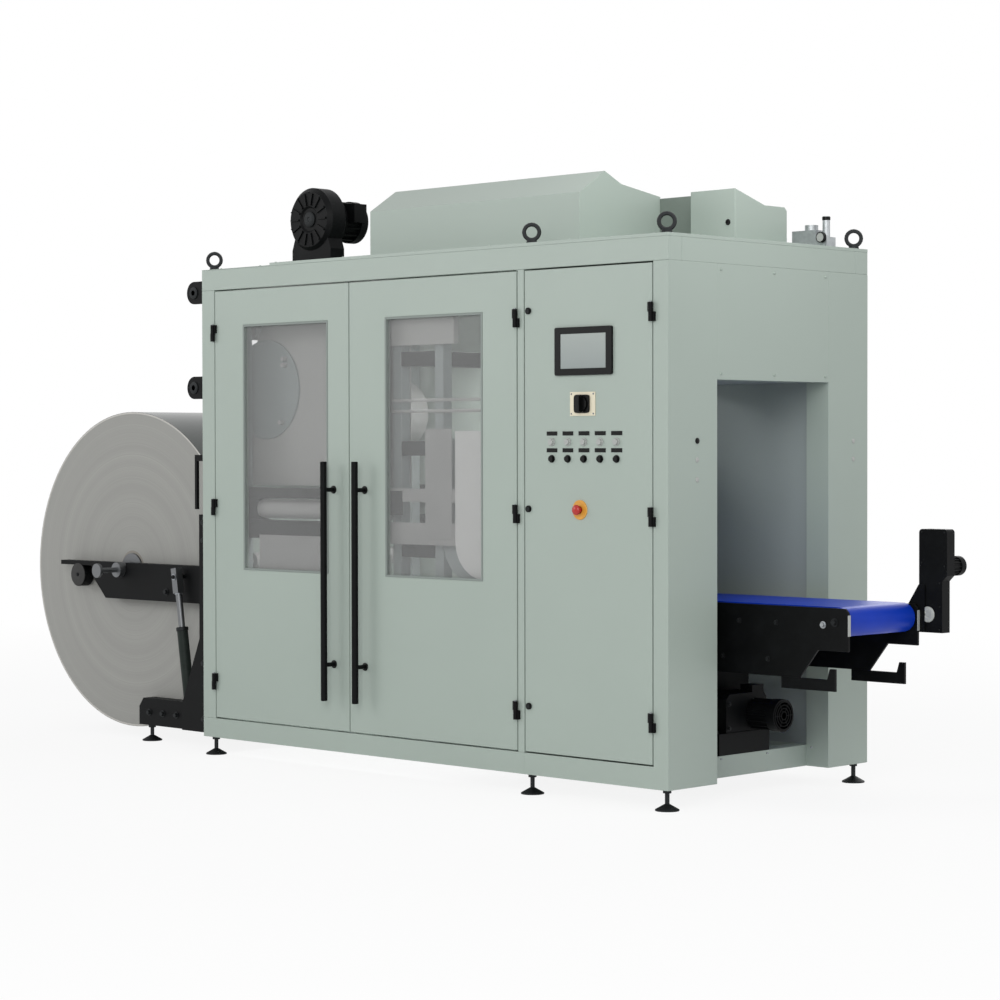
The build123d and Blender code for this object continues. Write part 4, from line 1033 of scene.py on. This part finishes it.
class MACHINE_OT_studio(bpy.types.Operator):
    """Lays the floor, hangs the lamps and stands the camera where the picture was taken"""

    bl_idname = "machine.studio"
    bl_label = "Studio"

    def execute(self, context):
        scene = context.scene
        floor_mesh = bpy.data.meshes.new("studio_floor")
        shape = bmesh.new()
        bmesh.ops.create_circle(shape, cap_ends=True, segments=96, radius=30.0)
        shape.to_mesh(floor_mesh)
        shape.free()
        floor = bpy.data.objects.new("studio_floor", floor_mesh)
        scene.collection.objects.link(floor)
        floor_mesh.materials.append(self.floor_material())
        self.light_world(scene)
        for name, (place, size, power) in LAMPS.items():
            self.lamp(scene, name, place, size, power)
        self.stand_camera(scene)
        return {"FINISHED"}

    @staticmethod
    def seen_directly(tree):
        """Gives a factor that is 1 for what is seen directly, mirrored or through glass."""
        path = add(tree, "ShaderNodeLightPath")
        seen = path.outputs["Is Camera Ray"]
        for name in ("Is Glossy Ray", "Is Transmission Ray"):
            either = {0: seen, 1: path.outputs[name]}
            seen = add(tree, "ShaderNodeMath", either, operation="MAXIMUM").outputs[0]
        return seen

    def floor_material(self):
        """White studio paper, rolled out flat: matt, and it fades into the white backdrop."""
        material = bpy.data.materials.new("white_studio_paper")
        tree = empty_tree(material)
        place = add(tree, "ShaderNodeTexCoord").outputs["Object"]
        reach = add(tree, "ShaderNodeVectorMath", {0: place}, operation="LENGTH").outputs["Value"]
        fade = add(tree, "ShaderNodeMapRange", {"Value": reach, 1: 3.5, 2: 9.0})
        share = add(tree, "ShaderNodeMapRange", {"Value": fade.outputs[0], 3: 0.88, 4: 1.0})
        seen = add(
            tree, "ShaderNodeMath", {0: share.outputs[0], 1: self.seen_directly(tree)}, operation="MULTIPLY"
        )
        paper = add(tree, "ShaderNodeBsdfDiffuse", {"Color": colour("F4F5F5")})
        glow = add(tree, "ShaderNodeEmission", {"Color": colour("FFFFFF"), "Strength": 1.0})
        mixed = add(
            tree, "ShaderNodeMixShader", {0: seen.outputs[0], 1: paper.outputs[0], 2: glow.outputs[0]}
        )
        add(tree, "ShaderNodeOutputMaterial", {"Surface": mixed.outputs[0]})
        return material

    def light_world(self, scene):
        """Even soft light from all round, with a plain white backdrop."""
        scene.world = bpy.data.worlds.new("soft_white_room")
        tree = empty_tree(scene.world)
        strength = add(tree, "ShaderNodeMapRange", {"Value": self.seen_directly(tree), 3: 0.46, 4: 1.0})
        room = add(tree, "ShaderNodeBackground", {"Color": colour("FFFFFF"), "Strength": strength.outputs[0]})
        add(tree, "ShaderNodeOutputWorld", {"Surface": room.outputs[0]})

    def lamp(self, scene, name, place, size, power):
        """Hangs a soft square lamp that faces the machine."""
        data = bpy.data.lights.new(name, "AREA")
        data.size = size
        data.energy = power
        lamp = bpy.data.objects.new(name, data)
        lamp.location = place
        lamp.rotation_euler = (LAMPS_FACE - Vector(place)).to_track_quat("-Z", "Y").to_euler()
        lamp.visible_camera = False
        scene.collection.objects.link(lamp)

    def stand_camera(self, scene):
        """Stands the camera where the machine's edges in the picture put it."""
        turn, pitch, roll = math.radians(44.366), math.radians(1.150), math.radians(-0.107)
        level = Vector((-math.sin(turn), math.cos(turn), 0.0))
        ahead = level * math.cos(pitch) - Z_AXIS * math.sin(pitch)
        across = Vector((math.cos(turn), math.sin(turn), 0.0))
        over = across.cross(ahead)
        right = across * math.cos(roll) + over * math.sin(roll)
        up = over * math.cos(roll) - across * math.sin(roll)
        data = bpy.data.cameras.new("camera")
        data.sensor_width = 36.0
        data.lens = 94.05
        camera = bpy.data.objects.new("camera", data)
        turned = Matrix((right, up, -ahead)).transposed().to_4x4()
        camera.matrix_world = Matrix.Translation(CAMERA_PLACE) @ turned
        scene.collection.objects.link(camera)
        scene.camera = camera
        scene.view_settings.view_transform = "Standard"


class MACHINE_PT_panel(bpy.types.Panel):
    """Lists the machine's colours, sizes and building steps"""

    bl_idname = "MACHINE_PT_panel"
    bl_label = "Form Fill Seal Machine"
    bl_space_type = "VIEW_3D"
    bl_region_type = "UI"
    bl_category = "Machine"

    def draw(self, context):
        for group in (context.scene.machine_colours, context.scene.machine_sizes):
            box = self.layout.box()
            for name in group.__annotations__:
                box.prop(group, name)
        for step in STEPS:
            self.layout.operator(step.bl_idname)


STEPS = (
    MACHINE_OT_finish_parts,
    MACHINE_OT_window_seals,
    MACHINE_OT_operator_panel,
    MACHINE_OT_door_fittings,
    MACHINE_OT_panel_screws,
    MACHINE_OT_roof_details,
    MACHINE_OT_end_details,
    MACHINE_OT_conveyor_details,
    MACHINE_OT_unwinder_details,
    MACHINE_OT_inner_details,
    MACHINE_OT_studio,
)
CLASSES = (MachineColours, MachineSizes, *STEPS, MACHINE_PT_panel)


def register():
    """Registers the classes and hangs the settings on the scene."""
    for item in CLASSES:
        bpy.utils.register_class(item)
    bpy.types.Scene.machine_colours = bpy.props.PointerProperty(type=MachineColours)
    bpy.types.Scene.machine_sizes = bpy.props.PointerProperty(type=MachineSizes)


def unregister():
    """Takes the settings off the scene and the classes out again."""
    del bpy.types.Scene.machine_sizes
    del bpy.types.Scene.machine_colours
    for item in reversed(CLASSES):
        bpy.utils.unregister_class(item)


def main():
    """Builds the machine step by step."""
    register()
    for step in STEPS:
        group, name = step.bl_idname.split(".")
        getattr(getattr(bpy.ops, group), name)()


if __name__ == "__main__":
    main()
